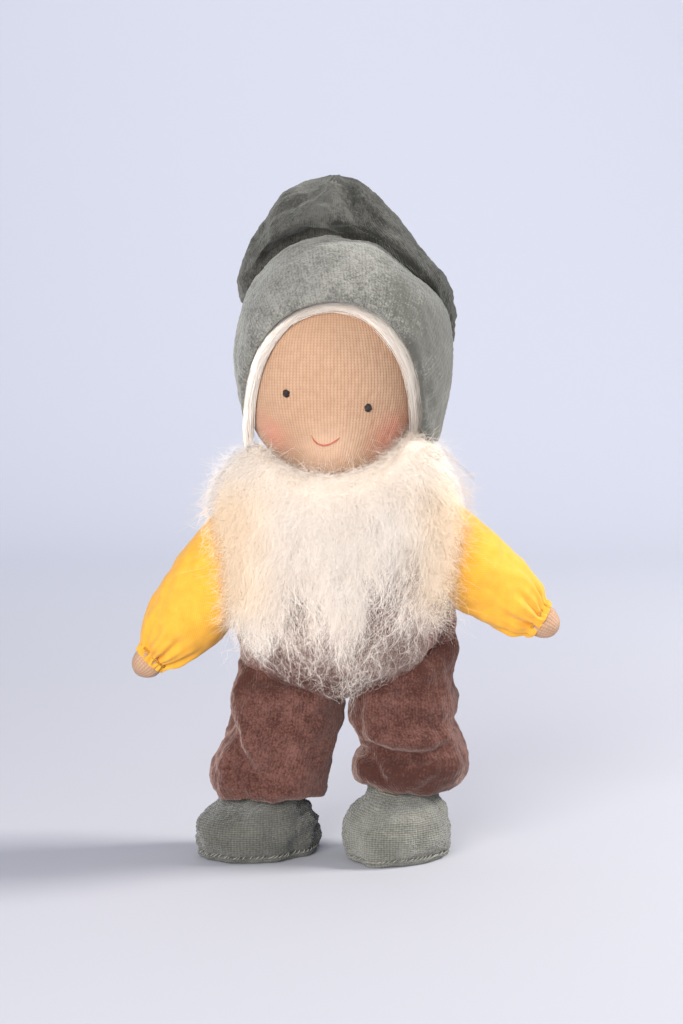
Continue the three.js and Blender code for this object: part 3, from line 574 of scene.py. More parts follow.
# Painted shade: the peak is the same velour as the hood, in darker copies of its colours and sheen tint, for
# the pouch that stands set back and faces up.
peak_shaded_dark, peak_shaded_light = shaded(hood_dark, 0.30), shaded(hood_light, 0.36)
peak_velour = velour_material("peak_velour", peak_shaded_dark, peak_shaded_light, 0.5, (0.5, 0.5, 0.45, 1.0))
hat_peak = cloth_piece("hat_peak_velour", peak_velour, peak_points, peak_across, peak_along)


def peak_pile_light_and_shade(points):
    """The peak's tone: painted light along the top ridge, painted shade beside the ridge together
    with pile that lies the other way there, painted shade where the lip pinches the hood, darker
    on the slope toward the doll's left, and patches where the pile lies this way and that.
    """
    x, z = points[:, 0], points[:, 2]
    ridge = np.exp(-((x + 8) / 8) ** 2 - ((z - 230) / 12) ** 2)
    shaded_side = np.exp(-((x - 6 - 0.5 * (226 - z)) / 8) ** 2 - ((z - 225) / 13) ** 2)
    slope = smooth_step(14, 26, x)
    pinch_shade = bump_along(near_line(x, z, pinched_line), 1.6) * smooth_step(10, 0, points[:, 1])
    return 0.05 + 0.5 * ridge - pinch_shade - 0.45 * shaded_side - 0.45 * slope + 0.12 * waves(points, 10, 24)


store_pile_tone(hat_peak, peak_pile_light_and_shade)
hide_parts("hat_peak")
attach(hat_peak, "peak")

# Head and face
# A wound wool ball in skin-coloured doll jersey. The knit's wales run down the face and draw
# together under the chin. The cheeks are rubbed with red crayon, and a thread round the head
# under the jersey draws it in a little at the height of the eyes.

head_middle = np.array([-5.0, 0.0, 168.7])
head_half = np.array([31.5, 31.0, 36.0])
wale, course = 1.2, 0.92
skin_dark, skin_light = (0.36, 0.195, 0.112, 1.0), (0.57, 0.36, 0.232, 1.0)
skin_painted_light = (0.90, 0.62, 0.44, 1.0)
blush_colour = (0.80, 0.27, 0.19, 1.0)


def head_surface(x, z, raised):
    """Points on the front of the head, at x and z as seen from the front, raised outward."""
    half = head_half + raised
    across, up = (x - head_middle[0]) / half[0], (z - head_middle[2]) / half[2]
    y = -half[1] * np.sqrt(np.maximum(1 - across**2 - up**2, 0))
    return np.stack([x, y + eye_line(z), z], axis=-1)


def eye_line(z):
    """How far the thread round the head draws the jersey in, at each height."""
    return 0.7 * bump_along(z - 161.5, 6.0)


def head_grid(columns, rows):
    """The head ball from the neck to the crown, in level rings."""
    rise = np.linspace(-np.pi / 2, np.pi / 2, rows)[:, None]
    turn = np.linspace(-np.pi / 2, 3 * np.pi / 2, columns, endpoint=False)[None, :]
    x = head_half[0] * np.cos(rise) * np.cos(turn) + head_middle[0]
    y = head_half[1] * np.cos(rise) * np.sin(turn) + 0 * x
    z = head_half[2] * np.sin(rise) + head_middle[2] + 0 * x
    points = np.stack([x, y, z], axis=-1)
    points[..., 1] -= np.sin(turn) * eye_line(z) * np.cos(rise)
    return points


def stitch_group():
    """Plain knit from the cloth UV: V-shaped stitches in columns. The mask is 1 on the yarn and 0
    in the gaps, and the height is the roundness of the yarn. Noise makes the yarn uneven."""
    group, into, out = new_group("plain_knit", {"Wale": wale, "Course": course, "Lean": 0.9})
    calc = calculator(group)
    uneven = cloud(group, 420.0)
    wide, tall = cloth_axes(group)
    across = calc("DIVIDE", calc("MULTIPLY_ADD", uneven, 0.55, wide), into["Wale"])
    along = calc("DIVIDE", calc("MULTIPLY_ADD", uneven, 0.5, tall), into["Course"])
    from_middle = calc("ABSOLUTE", calc("SUBTRACT", calc("FRACT", across), 0.5))
    slanted = calc("MULTIPLY_ADD", from_middle, into["Lean"], along)
    to_side = calc("POWER", calc("MULTIPLY", from_middle, 2.0), 2.4)
    column = calc("SUBTRACT", 1.0, calc("MULTIPLY", to_side, 0.66))
    yarn = calc("MULTIPLY_ADD", calc("SINE", calc("MULTIPLY", slanted, 2 * math.pi)), 0.5, 0.5)
    mask = calc("MULTIPLY", column, calc("MULTIPLY_ADD", yarn, 0.36, 0.64))
    rough = calc("MULTIPLY_ADD", uneven, 1.0, 0.52)
    group.links.new(calc("MULTIPLY", mask, rough), out["Mask"])
    group.links.new(mask, out["Height"])
    return group


plain_knit = stitch_group()


def spot_group():
    """1 near a place and 0 beyond its radius, with a soft, slightly cloudy edge."""
    group, into, out = new_group("soft_spot", {"Radius": 0.0}, ["Place"], ["Mask"])
    here = added(group, "TexCoord").outputs["Object"]
    away = added(group, "VectorMath", {0: here, 1: into["Place"]}, operation="DISTANCE")
    shaken = calculator(group)("MULTIPLY_ADD", cloud(group, 260.0), 0.004, away.outputs["Value"])
    run = {"Value": shaken, "From Min": 0.0, "From Max": into["Radius"], "To Min": 1.0, "To Max": 0.0}
    fall = added(group, "MapRange", run, interpolation_type="SMOOTHERSTEP")
    group.links.new(fall.outputs["Result"], out["Mask"])
    return group


soft_spot = spot_group()


def jersey_material(name, spots=()):
    """Skin-coloured doll jersey, with a colour laid on at each spot of place, radius, strength and
    colour: crayon blush rubbed in, and painted light."""
    material, tree, shader = new_material(name, 0.9)
    knit = added(tree, "Group", node_tree=plain_knit).outputs
    colour = toned(tree, knit["Mask"], skin_dark, skin_light)
    for place, radius, strength, blush_and_light_colour in spots:
        spot_size = {"Place": [value * mm for value in place], "Radius": radius * mm}
        spot = added(tree, "Group", spot_size, node_tree=soft_spot).outputs["Mask"]
        weight = calculator(tree)("MULTIPLY", spot, strength)
        colour = toned(tree, weight, colour, blush_and_light_colour)
    give_relief(tree, shader, knit["Height"], strength=0.6, distance=0.00035)
    colour_cloth(tree, shader, colour, sheen=0.15, shine=0.2)
    return material


head_points = head_grid(300, 170)
relief = 0.3 * waves(head_points, 30, 31) + 0.06 * waves(head_points, 4, 32)
head_points = lifted(head_points, relief * np.sin(np.linspace(0, np.pi, 170))[:, None])
head_across = np.repeat(np.linspace(0, 164 * wale, 301)[None, :], 170, axis=0)
head_along = np.repeat(np.linspace(0, 105, 170)[:, None], 301, axis=1)
# The pale spot under the chin is painted light thrown up from the white beard; the two red spots are the
# crayon blush on the cheeks.
tints = [
    ((-5, -26, 139), 25, 0.75, skin_painted_light),
    ((-28, -18, 148), 17, 0.55, blush_colour),
    ((17.5, -18, 148), 19, 0.62, blush_colour),
]
face_jersey = jersey_material("face_jersey", tints)
head_jersey = cloth_piece("head_jersey", face_jersey, head_points, head_across, head_along)
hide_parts("head_skin", "head_core")
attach(head_jersey, "head")

# Eyes and mouth
# Each eye is one knot of dark brown thread, and the mouth is a line of fine red thread laid
# on the jersey and caught down.


def tube_grid(centres, radius, sides):
    """Rings of points round a line of centres, level with the line's own bends. The radius is one
    number or one per centre."""
    along = np.gradient(centres, axis=0)
    along = unit(along)
    side = np.cross(along, np.array([0.0, -1.0, 0.02]))
    side = unit(side)
    up = np.cross(side, along)
    turn = full_turn(sides)
    size = np.broadcast_to(radius, (len(centres),))[:, None, None]
    out_side = np.cos(turn)[None, :, None] * side[:, None, :]
    out_up = np.sin(turn)[None, :, None] * up[:, None, :]
    return centres[:, None, :] + size * (out_side + out_up)


def thread_material(name, colour, twist, roughness=0.6):
    """Spun thread: slanting strands from a fine wave through the piece, in one colour."""
    material, tree, shader = new_material(name, roughness)
    here = added(tree, "TexCoord").outputs["Object"]
    wave = {"Vector": here, "Scale": twist, "Distortion": 2.0}
    strands = added(tree, "TexWave", wave, bands_direction="DIAGONAL").outputs["Fac"]
    tree.links.new(toned(tree, strands, shaded(colour, 0.55), colour), shader.inputs["Base Color"])
    give_relief(tree, shader, strands, strength=1.0, distance=0.00012)
    return material


eye_thread = thread_material("eye_thread", (0.028, 0.017, 0.015, 1.0), 900.0, 0.5)


def knot_grid(middle, radius, seed):
    """A small round knot, flattened toward the face, with the lumps of its turns of thread."""
    rise = np.linspace(-np.pi / 2, np.pi / 2, 25)[:, None]
    turn = full_turn(36)[None, :]
    lumps = 1 + 0.09 * np.sin(3 * turn + 5 * rise + seed) + 0.05 * np.sin(7 * turn - 4 * rise)
    x = radius * np.cos(rise) * np.cos(turn) * lumps
    z = radius * np.sin(rise) * lumps * 1.04 + 0 * turn
    y = 0.78 * radius * np.cos(rise) * np.sin(turn) * lumps
    return np.stack([x, y, z], axis=-1) + middle


for name, x, z, seed in (("eye_right", -20.3, 164.5, 1.0), ("eye_left", 7.4, 159.6, 2.6)):
    middle = head_surface(np.array([x]), np.array([z]), 0.35)[0]
    knot_points = knot_grid(middle, 1.25, seed)
    knot = mesh_piece(f"{name}_knot", eye_thread, knot_points * mm, grid_faces(25, 36, True))
    close_poles(knot)
    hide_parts(name)
    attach(knot, "head")

mouth_places = [
    [0, -12.1, 150.4], [0.2, -10.6, 147.9], [0.42, -8.3, 146.7], [0.65, -5.6, 147.1],
    [0.85, -3.4, 148.4], [1, -2.0, 149.6],
]
mouth_line = drawn(mouth_places, np.linspace(0, 1, 60))
mouth_sink = 0.16 * np.abs(np.sin(np.linspace(0, 3 * np.pi, 60))) - 0.02
mouth_centres = head_surface(mouth_line[:, 0], mouth_line[:, 1], 0.0)
mouth_centres[:, 1] -= mouth_sink + 0.1
mouth_width = 0.27 * np.minimum(1, 6 * np.minimum(np.linspace(0.02, 1, 60), np.linspace(1, 0.02, 60)))
red_thread = thread_material("mouth_thread", (0.80, 0.22, 0.13, 1.0), 1400.0)
mouth_points = tube_grid(mouth_centres, mouth_width, 8)
mouth = mesh_piece("mouth_thread", red_thread, mouth_points * mm, grid_faces(60, 8, True))
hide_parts("mouth_stitch")
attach(mouth, "head")

# Hair and beard
# Carded wool fleece in cream white. A thin band of it runs round the face under the hat's hem,
# and the beard is a thick fan from the chin over chest and belly that thins out to wisps.

fleece_dark, fleece_light = (0.72, 0.58, 0.48, 1.0), (0.97, 0.89, 0.80, 1.0)
# Painted bounce light: the warm colour that the yellow sleeves throw onto the fleece beside them.
sleeve_bounce_colour = (0.99, 0.74, 0.46, 1.0)


def strand_ribbons(name, material, paths, width, seed, outward, bounce_share=0.0):
    """One mesh of thin flat fibres. paths holds a line of points for each fibre, and each fibre is
    a narrow ribbon, rolled at random about its line and pointed at its ends. Loose wool scatters
    light like a cloud, so its shading leans mostly on outward, the direction out of the fleece."""
    count, steps = paths.shape[:2]
    random = np.random.default_rng(seed)
    along = np.gradient(paths, axis=1)
    along = unit(along, 1e-9)
    roll = random.normal(size=(count, 1, 3)) * 0.8 + np.array([0.0, -1.0, 0.2])
    side = np.cross(along, np.broadcast_to(roll, along.shape))
    side = unit(side, 1e-9)
    flat = np.cross(side, along)
    turned = np.sign((flat * outward).sum(axis=2, keepdims=True) + 1e-9)
    side, flat = side * turned, flat * turned
    share = np.linspace(0, 1, steps)[None, :, None]
    pointed = 0.25 + 0.75 * (4 * share * (1 - share)) ** 0.4
    half = 0.5 * width * random.uniform(0.6, 1.4, (count, 1, 1)) * pointed
    points = np.stack([paths - side * half, paths + side * half], axis=2)
    first = (np.arange(count)[:, None] * steps + np.arange(steps - 1)[None, :]) * 2
    faces = np.stack([first, first + 1, first + 3, first + 2], axis=-1).reshape(-1, 4)
    piece = mesh_piece(name, material, points * mm, faces)
    normal = 0.8 * outward + 0.35 * flat
    normal = unit(normal)
    piece.data.normals_split_custom_set_from_vertices(np.repeat(normal.reshape(-1, 3), 2, axis=0))
    store(piece, "fibre_tone", np.repeat(random.uniform(0, 1, count), steps * 2))
    # Each fibre also stores its share of painted bounce light from the sleeves.
    store(piece, "painted_bounce", np.repeat((bounce_share + 0 * paths[..., 0]).reshape(-1), 2))
    return piece


def fibre_group():
    """Fine crossing fibres that run mostly downward, drawn where any of three stretched clouds is
    near its middle value. The mask is 1 all over where Cover is 1, and thins to single fibres as
    Cover falls. The height is 1 on a fibre and 0 away from it."""
    group, into, out = new_group("loose_fibres", {"Cover": 0.0})
    calc = calculator(group)
    here = added(group, "TexCoord").outputs["Object"]
    nearest = 1.0
    for turn, stretch, scale in ((0.30, 0.38, 1500.0), (-0.45, 0.50, 1800.0), (1.2, 0.60, 1300.0)):
        run = {"Vector": here, "Rotation": (0.0, turn, 0.0), "Scale": (1.0, 0.5, stretch)}
        laid = added(group, "Mapping", run).outputs["Vector"]
        curls = {"Vector": laid, "Scale": scale, "Detail": 1.0, "Distortion": 2.0}
        from_middle = calc("SUBTRACT", added(group, "TexNoise", curls).outputs["Fac"], 0.5)
        nearest = calc("MINIMUM", calc("ABSOLUTE", from_middle), nearest)
    width = calc("MULTIPLY_ADD", calc("POWER", into["Cover"], 2.5), 0.5, 0.003)
    inside = calc("DIVIDE", calc("SUBTRACT", width, nearest), 0.008)
    mask = calc("MINIMUM", calc("MAXIMUM", calc("ADD", inside, 0.5), 0.0), 1.0)
    group.links.new(mask, out["Mask"])
    height = calc("MAXIMUM", calc("MULTIPLY_ADD", nearest, -14.0, 1.0), 0.0)
    group.links.new(height, out["Height"])
    return group


def fleece_material(name, dark, light, matted=False):
    """Wool fibre: each fibre has its own tone, a broad cloud lets locks differ a little, and painted
    light from the yellow sleeves, stored at the points, warms it toward their colour. A matted
    sheet is also cut into fibres as its cover falls, and turns dark brown by a stored share."""
    material, tree, shader = new_material(name, 0.8)
    calc = calculator(tree)
    tone = calc("MULTIPLY_ADD", stored(tree, "fibre_tone"), 0.85, cloud(tree, 45.0, 3.0))
    if matted:
        cover = {"Cover": stored(tree, "cover")}
        fibres = added(tree, "Group", cover, node_tree=fibre_group()).outputs
        tree.links.new(fibres["Mask"], shader.inputs["Alpha"])
        tone = calc("MULTIPLY_ADD", fibres["Height"], 0.5, tone)
    colour = toned(tree, tone, dark, light)
    colour = toned(tree, stored(tree, "painted_bounce"), colour, sleeve_bounce_colour)
    if matted:
        colour = toned(tree, stored(tree, "brown_share"), colour, (0.20, 0.115, 0.092, 1.0))
    colour_cloth(tree, shader, colour, sheen=0.3, shine=0.1)
    shader.inputs["Sheen Roughness"].default_value = 0.5
    return material


fleece = fleece_material("wool_fleece", fleece_dark, fleece_light)


def hair_line(share):
    """The middle line of the hair band, an arch in front of the head from side to side."""
    turn = np.pi * share
    x = -4.9 + np.where(turn < np.pi / 2, 29.4, 28.7) * np.cos(turn)
    z = 146 + 48.3 * np.maximum(np.sin(turn), 0) ** 0.8
    across, up = (x - head_middle[0]) / 33.4, (z - head_middle[2]) / 37.9
    y = -33.0 * np.sqrt(np.maximum(1 - across**2 - up**2, 0.02))
    return np.stack([x, y, z], axis=-1)


def hair_paths(count, steps, seed):
    """Fibres that follow the band, each a little off its middle line and slightly waved."""
    random = np.random.default_rng(seed)
    start = random.uniform(-0.03, 0.95, count)[:, None]
    length = random.uniform(0.05, 0.16, count)[:, None]
    share = np.clip(start + length * np.linspace(0, 1, steps)[None, :], 0, 1)
    line = hair_line(share)
    outward = line - head_middle
    outward = unit(outward)
    flow = np.gradient(line, axis=1)
    sideways = np.cross(outward, flow)
    sideways = unit(sideways, 1e-9)
    lower = 1.2 * smooth_step(0.18, 0.0, share) + 0.3 * smooth_step(0.93, 1.0, share)
    narrow = 0.4 * smooth_step(0.5, 0.72, share)
    spread = random.normal(0, 1.0, (count, 1)) * (1.0 - narrow + 0.6 * lower)
    height = random.uniform(-1.2, 1.9, (count, 1)) + 0.5 * lower
    wave = np.sin(share * random.uniform(60, 160, (count, 1)) + random.uniform(0, 6.3, (count, 1)))
    return line + sideways * (spread + 0.25 * wave)[..., None] + outward * (height + 0.2 * wave)[..., None]


# Painted light: the hair band's fleece is a lighter copy of the beard's fleece colours, for a band that lies
# in the shade of the hat's hem.
hair_fleece = fleece_material("hair_fleece", (0.82, 0.70, 0.61, 1.0), (0.99, 0.92, 0.84, 1.0))
band_line = hair_line(np.linspace(0.0, 1.0, 90))
band_narrow = 0.92 - 0.5 * smooth_step(0.5, 0.72, np.linspace(0, 1, 90))
band_core = tube_grid(band_line, 1.75 * band_narrow * np.sin(np.pi * np.linspace(0.02, 0.98, 90)) ** 0.3, 18)
band_core = lifted(band_core, 0.25 * waves(band_core, 4, 41))
hair_core = mesh_piece("hair_core", hair_fleece, band_core * mm, grid_faces(90, 18, True))
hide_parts("hair_fleece")
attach(hair_core, "head")
hair_fibres = hair_paths(9000, 9, 42)
hair_out = hair_fibres - head_middle
hair_out = unit(hair_out) + [0.3, -0.8, 0.3]
hair_out = unit(hair_out)
hair_strands = strand_ribbons("hair_strands", hair_fleece, hair_fibres, 0.10, 43, hair_out)
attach(hair_strands, "head")

torso_profile = [
    [57.8, -1, 6.8, 4.8], [60.2, -1, 17.1, 12.6], [65.3, -1, 27.3, 20.0], [72.5, -1, 34.9, 25.1],
    [80.9, -1, 38.8, 27.8], [89.3, -1, 38.9, 27.8], [96.6, -1.2, 35.9, 25.8], [101.6, -2.4, 31.8, 23.2],
    [106, -3.8, 29.6, 20.8], [115.8, -4, 28.4, 19.0], [123.8, -4, 23.8, 15.4], [127.4, -4, 15.5, 11.6],
]
beard_outline = [
    [55, 2.0, 1.0, -20.5, 7], [58, -6.5, 5.5, -22.5, 8], [64, -22, 17.5, -26.5, 9.5],
    [72, -36, 27.0, -31.5, 11], [82, -40.0, 32.0, -35.0, 12], [92, -41.5, 34.5, -36.4, 12.5],
    [104, -42.5, 36.5, -36.8, 13], [116, -44.5, 38.5, -36.6, 14], [127, -45.0, 38.5, -36.0, 13.5],
    [136, -42.0, 35.5, -35.0, 12], [144, -36.5, 31.0, -33.6, 9.5], [150, -33.0, 28.0, -31.5, 7],
]
chin_points = [
    [-60, 121.5], [-46, 133.8], [-40, 139.2], [-34, 144.2], [-31, 145.2], [-28, 144.0], [-24, 140.9],
    [-20, 138.4], [-13, 136.2], [-5, 135.6], [3, 136.8], [9, 138.9], [14, 141.7], [18.5, 146.2],
    [21.5, 150.0], [24.5, 151.8], [30, 147.4], [36, 142.0], [46, 133.0], [60, 120.4],
]
closed_end_points = [
    [-46, 86], [-38, 86], [-30, 92], [-22, 99], [-15, 105], [-9, 104], [-4.5, 99], [-1.5, 96],
    [1.5, 99], [5, 107], [10, 113], [18, 116], [25, 113], [29, 104], [33, 94], [38, 89], [46, 88],
]
foot_points = [
    [-47, 102], [-43.8, 96], [-41, 81], [-36, 70.5], [-18, 62.5], [-0.7, 57], [1, 57.5],
    [18.6, 65.0], [29, 79.5], [32.6, 93], [42.4, 113], [46, 116],
]


def chin_line(x):
    """The height at which the fleece starts under the face, as seen from the front: it follows the
    chin, ends at the cheeks, and falls from there to the shoulders."""
    return drawn(chin_points, x)[..., 0]


def beard_surface(x, z, rim=1.0):
    """The front of the beard at x and z as seen from the front: it bulges most in the middle,
    falls back to the shoulders at its sides, and turns in under the chin."""
    left, right, front, _ = drawn(beard_outline, z).T
    left, right, front = left.T, right.T, front.T
    across = (x - (left + right) / 2) / ((right - left) / 2 + 2.0)
    bulge = front + 27.0 * (1 - np.sqrt(np.maximum(1 - np.clip(across, -1, 1) ** 2, 0.0)))
    top = chin_line(x)
    aside, up = (x - head_middle[0]) / head_half[0], (top - head_middle[2]) / head_half[2]
    level = 1 - aside ** 2 - up ** 2
    face = -head_half[1] * np.sqrt(np.maximum(level, 0.0)) - 0.6
    near_rim = 1 - np.clip((top - z) / 6.5, 0, 1)
    return bulge + rim * np.clip(face - bulge, 0, 21) * (1 - np.sqrt(1 - near_rim**2))


def closed_fleece_end(x):
    """The height at which the closed fleece ends and only a thin veil goes on over the belly."""
    return drawn(closed_end_points, x)[..., 0]


def fleece_foot(x):
    """The height at which the thin veil ends, drawn down to the tip between the legs."""
    return drawn(foot_points, x)[..., 0]


def fleece_cover(x, z):
    """How closed the fleece is at x and z as seen from the front, 0 to 1: closed from the chin to
    the upper belly and down the middle ridge, and thinning out to its foot and its sides."""
    left, right, _, _ = drawn(beard_outline, z).T
    left, right = left.T, right.T
    across = (x - (left + right) / 2) / ((right - left) / 2)
    end = closed_fleece_end(x)
    place = np.stack([x, 0 * x, z * 0.3], axis=-1)
    closed = smooth_step(end - 30, end + 24, z + 8 * waves(place, 9, 65))
    ridge = 0.13 * bump_along(x + 1.5 - 0.06 * (z - 56), 4.2)
    veil = np.maximum(0.095 + 0.07 * waves(place, 7, 66) + ridge, 0.015)
    veil = veil * (1 - closed) * (0.6 + 0.4 * smooth_step(64, 88, z))
    foot, chin = fleece_foot(x), chin_line(x)
    above_foot = smooth_step(foot - 3, foot + 15, z + 4 * waves(place, 6, 67))
    between_sides = smooth_step(1.04, 0.80, np.abs(across))
    below_chin = smooth_step(chin + 1.0, chin - 1.5, z)
    return (closed + veil) * above_foot * between_sides * below_chin


def belly_front(x, z):
    """The front of the trousers' seat and of the shirt at x and z as seen from the front."""
    middle, half_x, half_y = np.moveaxis(drawn(torso_profile, z), -1, 0)
    return -half_y * np.sqrt(np.maximum(1 - ((x - middle) / half_x) ** 2, 0.04))


def beard_layer_grid(columns, rows, forward):
    """A sheet of matted wool under the loose fibres, from the chin to the veil's foot. Its upper
    rim turns back under the chin, and lower down it comes to lie on the belly."""
    x = np.linspace(-47, 45, columns)[None, :] + np.zeros((rows, 1))
    down = np.linspace(0, 1, rows)[:, None]
    z = chin_line(x) + (fleece_foot(x) - 2 - chin_line(x)) * down
    end = closed_fleece_end(x)
    thick = beard_surface(x, z) + 2.4
    thin = np.minimum(belly_front(x, z) - 1.2, thick + 11)
    y = thick + (thin - thick) * smooth_step(end + 24, end - 26, z) - forward
    body = np.stack([x, y, z], axis=-1)
    under = body[:1] + np.array([0.0, 24.0, 0.0]) * np.array([1.0, 0.6, 0.3, 0.1])[:, None, None]
    furthest_back = np.maximum(body[0, :, 1] + [[1.5], [1.0], [0.5], [0.2]], -3.0)
    under[..., 1] = np.minimum(under[..., 1], furthest_back)
    under[..., 2] -= np.array([1.6, 0.6, 0.0, -0.1])[:, None]
    return np.concatenate([under, body])


def clear_of_face(points, gap):
    """Keeps points out of the head ball, by moving them straight forward to its surface."""
    half = head_half + gap
    across = (points[..., 0] - head_middle[0]) / half[0]
    up = (points[..., 2] - head_middle[2]) / half[2]
    front = -half[1] * np.sqrt(np.maximum(1 - across**2 - up**2, 0))
    inside = (across**2 + up**2 < 1) & (points[..., 1] > front) & (points[..., 1] < 5)
    moved = points.copy()
    moved[..., 1] = np.where(inside, front, points[..., 1])
    return moved


def fan_direction(points, loose):
    """Which way the fleece runs: out from the chin and then down beside the outline to the tip,
    so that a fibre keeps its place between the sides, drawn aside by broad and fine curls."""
    x, z = points[..., 0], points[..., 2]
    left, right, _, _ = drawn(beard_outline, z).T
    below = drawn(beard_outline, z - 1.0).T
    across = (x - (left + right) / 2) / ((right - left) / 2)
    aside = (below[0] + below[1]) / 2 + np.clip(across, -1.1, 1.1) * (below[1] - below[0]) / 2 - x
    away = np.stack([np.clip(aside, -1.2, 1.2), 0 * x, -np.ones_like(x)], axis=-1)
    away = unit(away)
    curl = np.stack([waves(points, 17, 51), 0.6 * waves(points, 15, 52), waves(points, 16, 53)], axis=-1)
    fine = np.stack([waves(points, 6, 54), 0.6 * waves(points, 6, 55), waves(points, 6, 56)], axis=-1)
    direction = away + 0.30 * loose * curl + 0.16 * loose * fine
    return unit(direction)


def beard_paths(
    count, steps, seed, length_range, depth_range, loose, low=56, high=149, flat=False, curl_size=1.0
):
    """Fibres of the beard: roots scattered over the fan, thickest where the fleece is, and each
    fibre followed along the fleece's run, with the fibre's own crimp on top."""
    random = np.random.default_rng(seed)
    tries = count * 8
    z = random.uniform(low, high, tries)
    left, right, _, _ = drawn(beard_outline, z).T
    x = left + (right - left) * random.uniform(0.02, 0.98, tries)
    chance = np.ones(tries) if flat else np.clip(fleece_cover(x, z), 0.0, 1.0) ** 1.6
    weight = (right - left) / 90 * chance * (0.5 + 0.5 * smooth_step(60, 92, z))
    weight = np.where(z > chin_line(x) + random.normal(0.0, 1.0, tries), 0.0, weight)
    kept = np.flatnonzero(random.uniform(0, 1, tries) < weight)[:count]
    x, z = x[kept], z[kept]
    depth = random.uniform(*depth_range, len(kept))
    length = random.uniform(*length_range, len(kept)) * (0.55 + 0.45 * smooth_step(60, 100, z))
    highest = chin_line(x) - random.uniform(-0.8, 2.0, len(kept))
    z = np.minimum(z + 0.45 * length, np.maximum(z, highest))
    start = np.stack([x, beard_surface(x, z) + depth, z], axis=-1)
    own = random.normal(0, 0.42 * loose, (len(kept), 3)) * [1.0, 0.4, 0.7]
    path = [start]
    for _ in range(steps - 1):
        direction = fan_direction(path[-1], loose) + own
        path.append(path[-1] + direction * (length / (steps - 1))[:, None])
    path = np.stack(path, axis=1)
    share = np.linspace(0, 1, steps)[None, :]
    turns = random.uniform(0.4, steps / 6.5, (len(kept), 1))
    size = random.uniform(0.3, 1.0, (len(kept), 1)) * loose * curl_size
    size = size * np.minimum(share * 3, 1) / np.maximum(turns, 0.7)
    phase = random.uniform(0, 6.3, (3, len(kept), 1))
    wound = turns * 2 * np.pi * share
    path[..., 0] += size * np.sin(wound + phase[0])
    path[..., 2] += size * np.cos(wound + phase[0] + 0.5 * np.sin(phase[1]))
    path[..., 1] += 0.5 * size * np.cos(wound + phase[2])
    rise = path[..., 1] - beard_surface(path[..., 0], path[..., 2])
    path[..., 1] = np.where(rise < -3.0, path[..., 1] - (rise + 3.0), path[..., 1])
    return clear_of_face(path, 0.4)


def beard_out(points):
    """The direction out of the beard's front at each point, from the slope of its surface."""
    x, z = points[..., 0], points[..., 2]
    slope_x = (beard_surface(x + 0.5, z, 0.0) - beard_surface(x - 0.5, z, 0.0)).clip(-2.5, 2.5)
    slope_z = (beard_surface(x, z + 0.5, 0.0) - beard_surface(x, z - 0.5, 0.0)).clip(-1.0, 1.0)
    out = np.stack([slope_x, -np.ones_like(x), slope_z + 0.12], axis=-1)
    return unit(out)


def beard_painted_bounce(points):
    """Painted light from the yellow sleeves: warmest at both sides at the sleeves' height, with a
    little warm glow under the chin.
    """
    x, z = points[..., 0], points[..., 2]
    side = smooth_step(16, 40, np.abs(x + 1.5))
    beside_sleeves = side * smooth_step(78, 96, z) * smooth_step(140, 122, z)
    return 0.62 * beside_sleeves + 0.10 * smooth_step(120, 134, z)


def beard_piece(name, paths, width, seed):
    """One layer of beard fibres that follows the chest."""
    piece = strand_ribbons(name, fleece, paths, width, seed, beard_out(paths), beard_painted_bounce(paths))
    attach(piece, "torso")
    return piece


matted_dark, matted_light = (0.80, 0.66, 0.55, 1.0), (0.97, 0.86, 0.75, 1.0)
matted_fleece = fleece_material("matted_fleece", matted_dark, matted_light, matted=True)
for layer, (forward, most) in enumerate(((0.0, 1.0), (1.4, 0.2))):
    layer_points = clear_of_face(beard_layer_grid(150, 120, forward), 0.3)
    layer_relief = 0.45 * waves(layer_points * [1, 1, 0.45], 9, 61 + layer)
    layer_relief += 0.15 * waves(layer_points * [1, 1, 0.5], 3.5, 62 + layer)
    layer_points[4:, :, 1] -= layer_relief[4:]
    sheet_faces = grid_faces(124, 150)[:, ::-1]
    sheet = mesh_piece(f"beard_sheet_{layer}", matted_fleece, layer_points * mm, sheet_faces)
    sheet.data.normals_split_custom_set_from_vertices(beard_out(layer_points).reshape(-1, 3))
    layer_x, layer_z = layer_points[..., 0], layer_points[..., 2]
    closed = fleece_cover(layer_x, layer_z)
    thin = np.zeros_like(closed)
    # On the lower sheet, a band over the upper belly where the fleece is thin takes a dark brown.
    if layer == 0:
        inner = smooth_step(0.0, 0.1, closed) * smooth_step(1.0, 0.9, np.abs(layer_x + 2) / 36)
        thin = inner * smooth_step(91, 94, layer_z) * (1 - np.clip(closed, 0, 1)) ** 0.8
        closed = closed + inner * smooth_step(93.5, 96.5, layer_z) * (1 - closed)
    else:
        closed = np.minimum(closed, most) * smooth_step(0.8, 0.4, closed)
    tone_share = 0.5 * smooth_step(0.2, 1.0, closed) - 0.7
    # The sheet stores painted light from the sleeves and under the chin.
    store(sheet, "painted_bounce", beard_painted_bounce(layer_points))
    store(sheet, "fibre_tone", tone_share)
    store(sheet, "cover", closed)
    store(sheet, "brown_share", thin)
    if layer == 0:
        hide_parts("beard_fleece")
    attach(sheet, "torso")


def short_paths(x, z, drift, length_range, steps, random):
    """Short frizzy fibres from places on the front of the beard, drifting the given way."""
    count = len(x)
    start = np.stack([x, beard_surface(x, z) + random.uniform(-2.6, 1.0, count), z], axis=-1)
    heading = random.normal(size=(count, 3)) * [1.0, 0.6, 1.0] + drift
    heading = unit(heading)
    bend = random.normal(size=(count, 3)) * 0.9
    share = np.linspace(0, 1, steps)[None, :, None]
    length = random.uniform(*length_range, (count, 1, 1))
    bent = heading[:, None] * share + 0.5 * bend[:, None] * share**2
    return clear_of_face(start[:, None] + length * bent, 0.4)


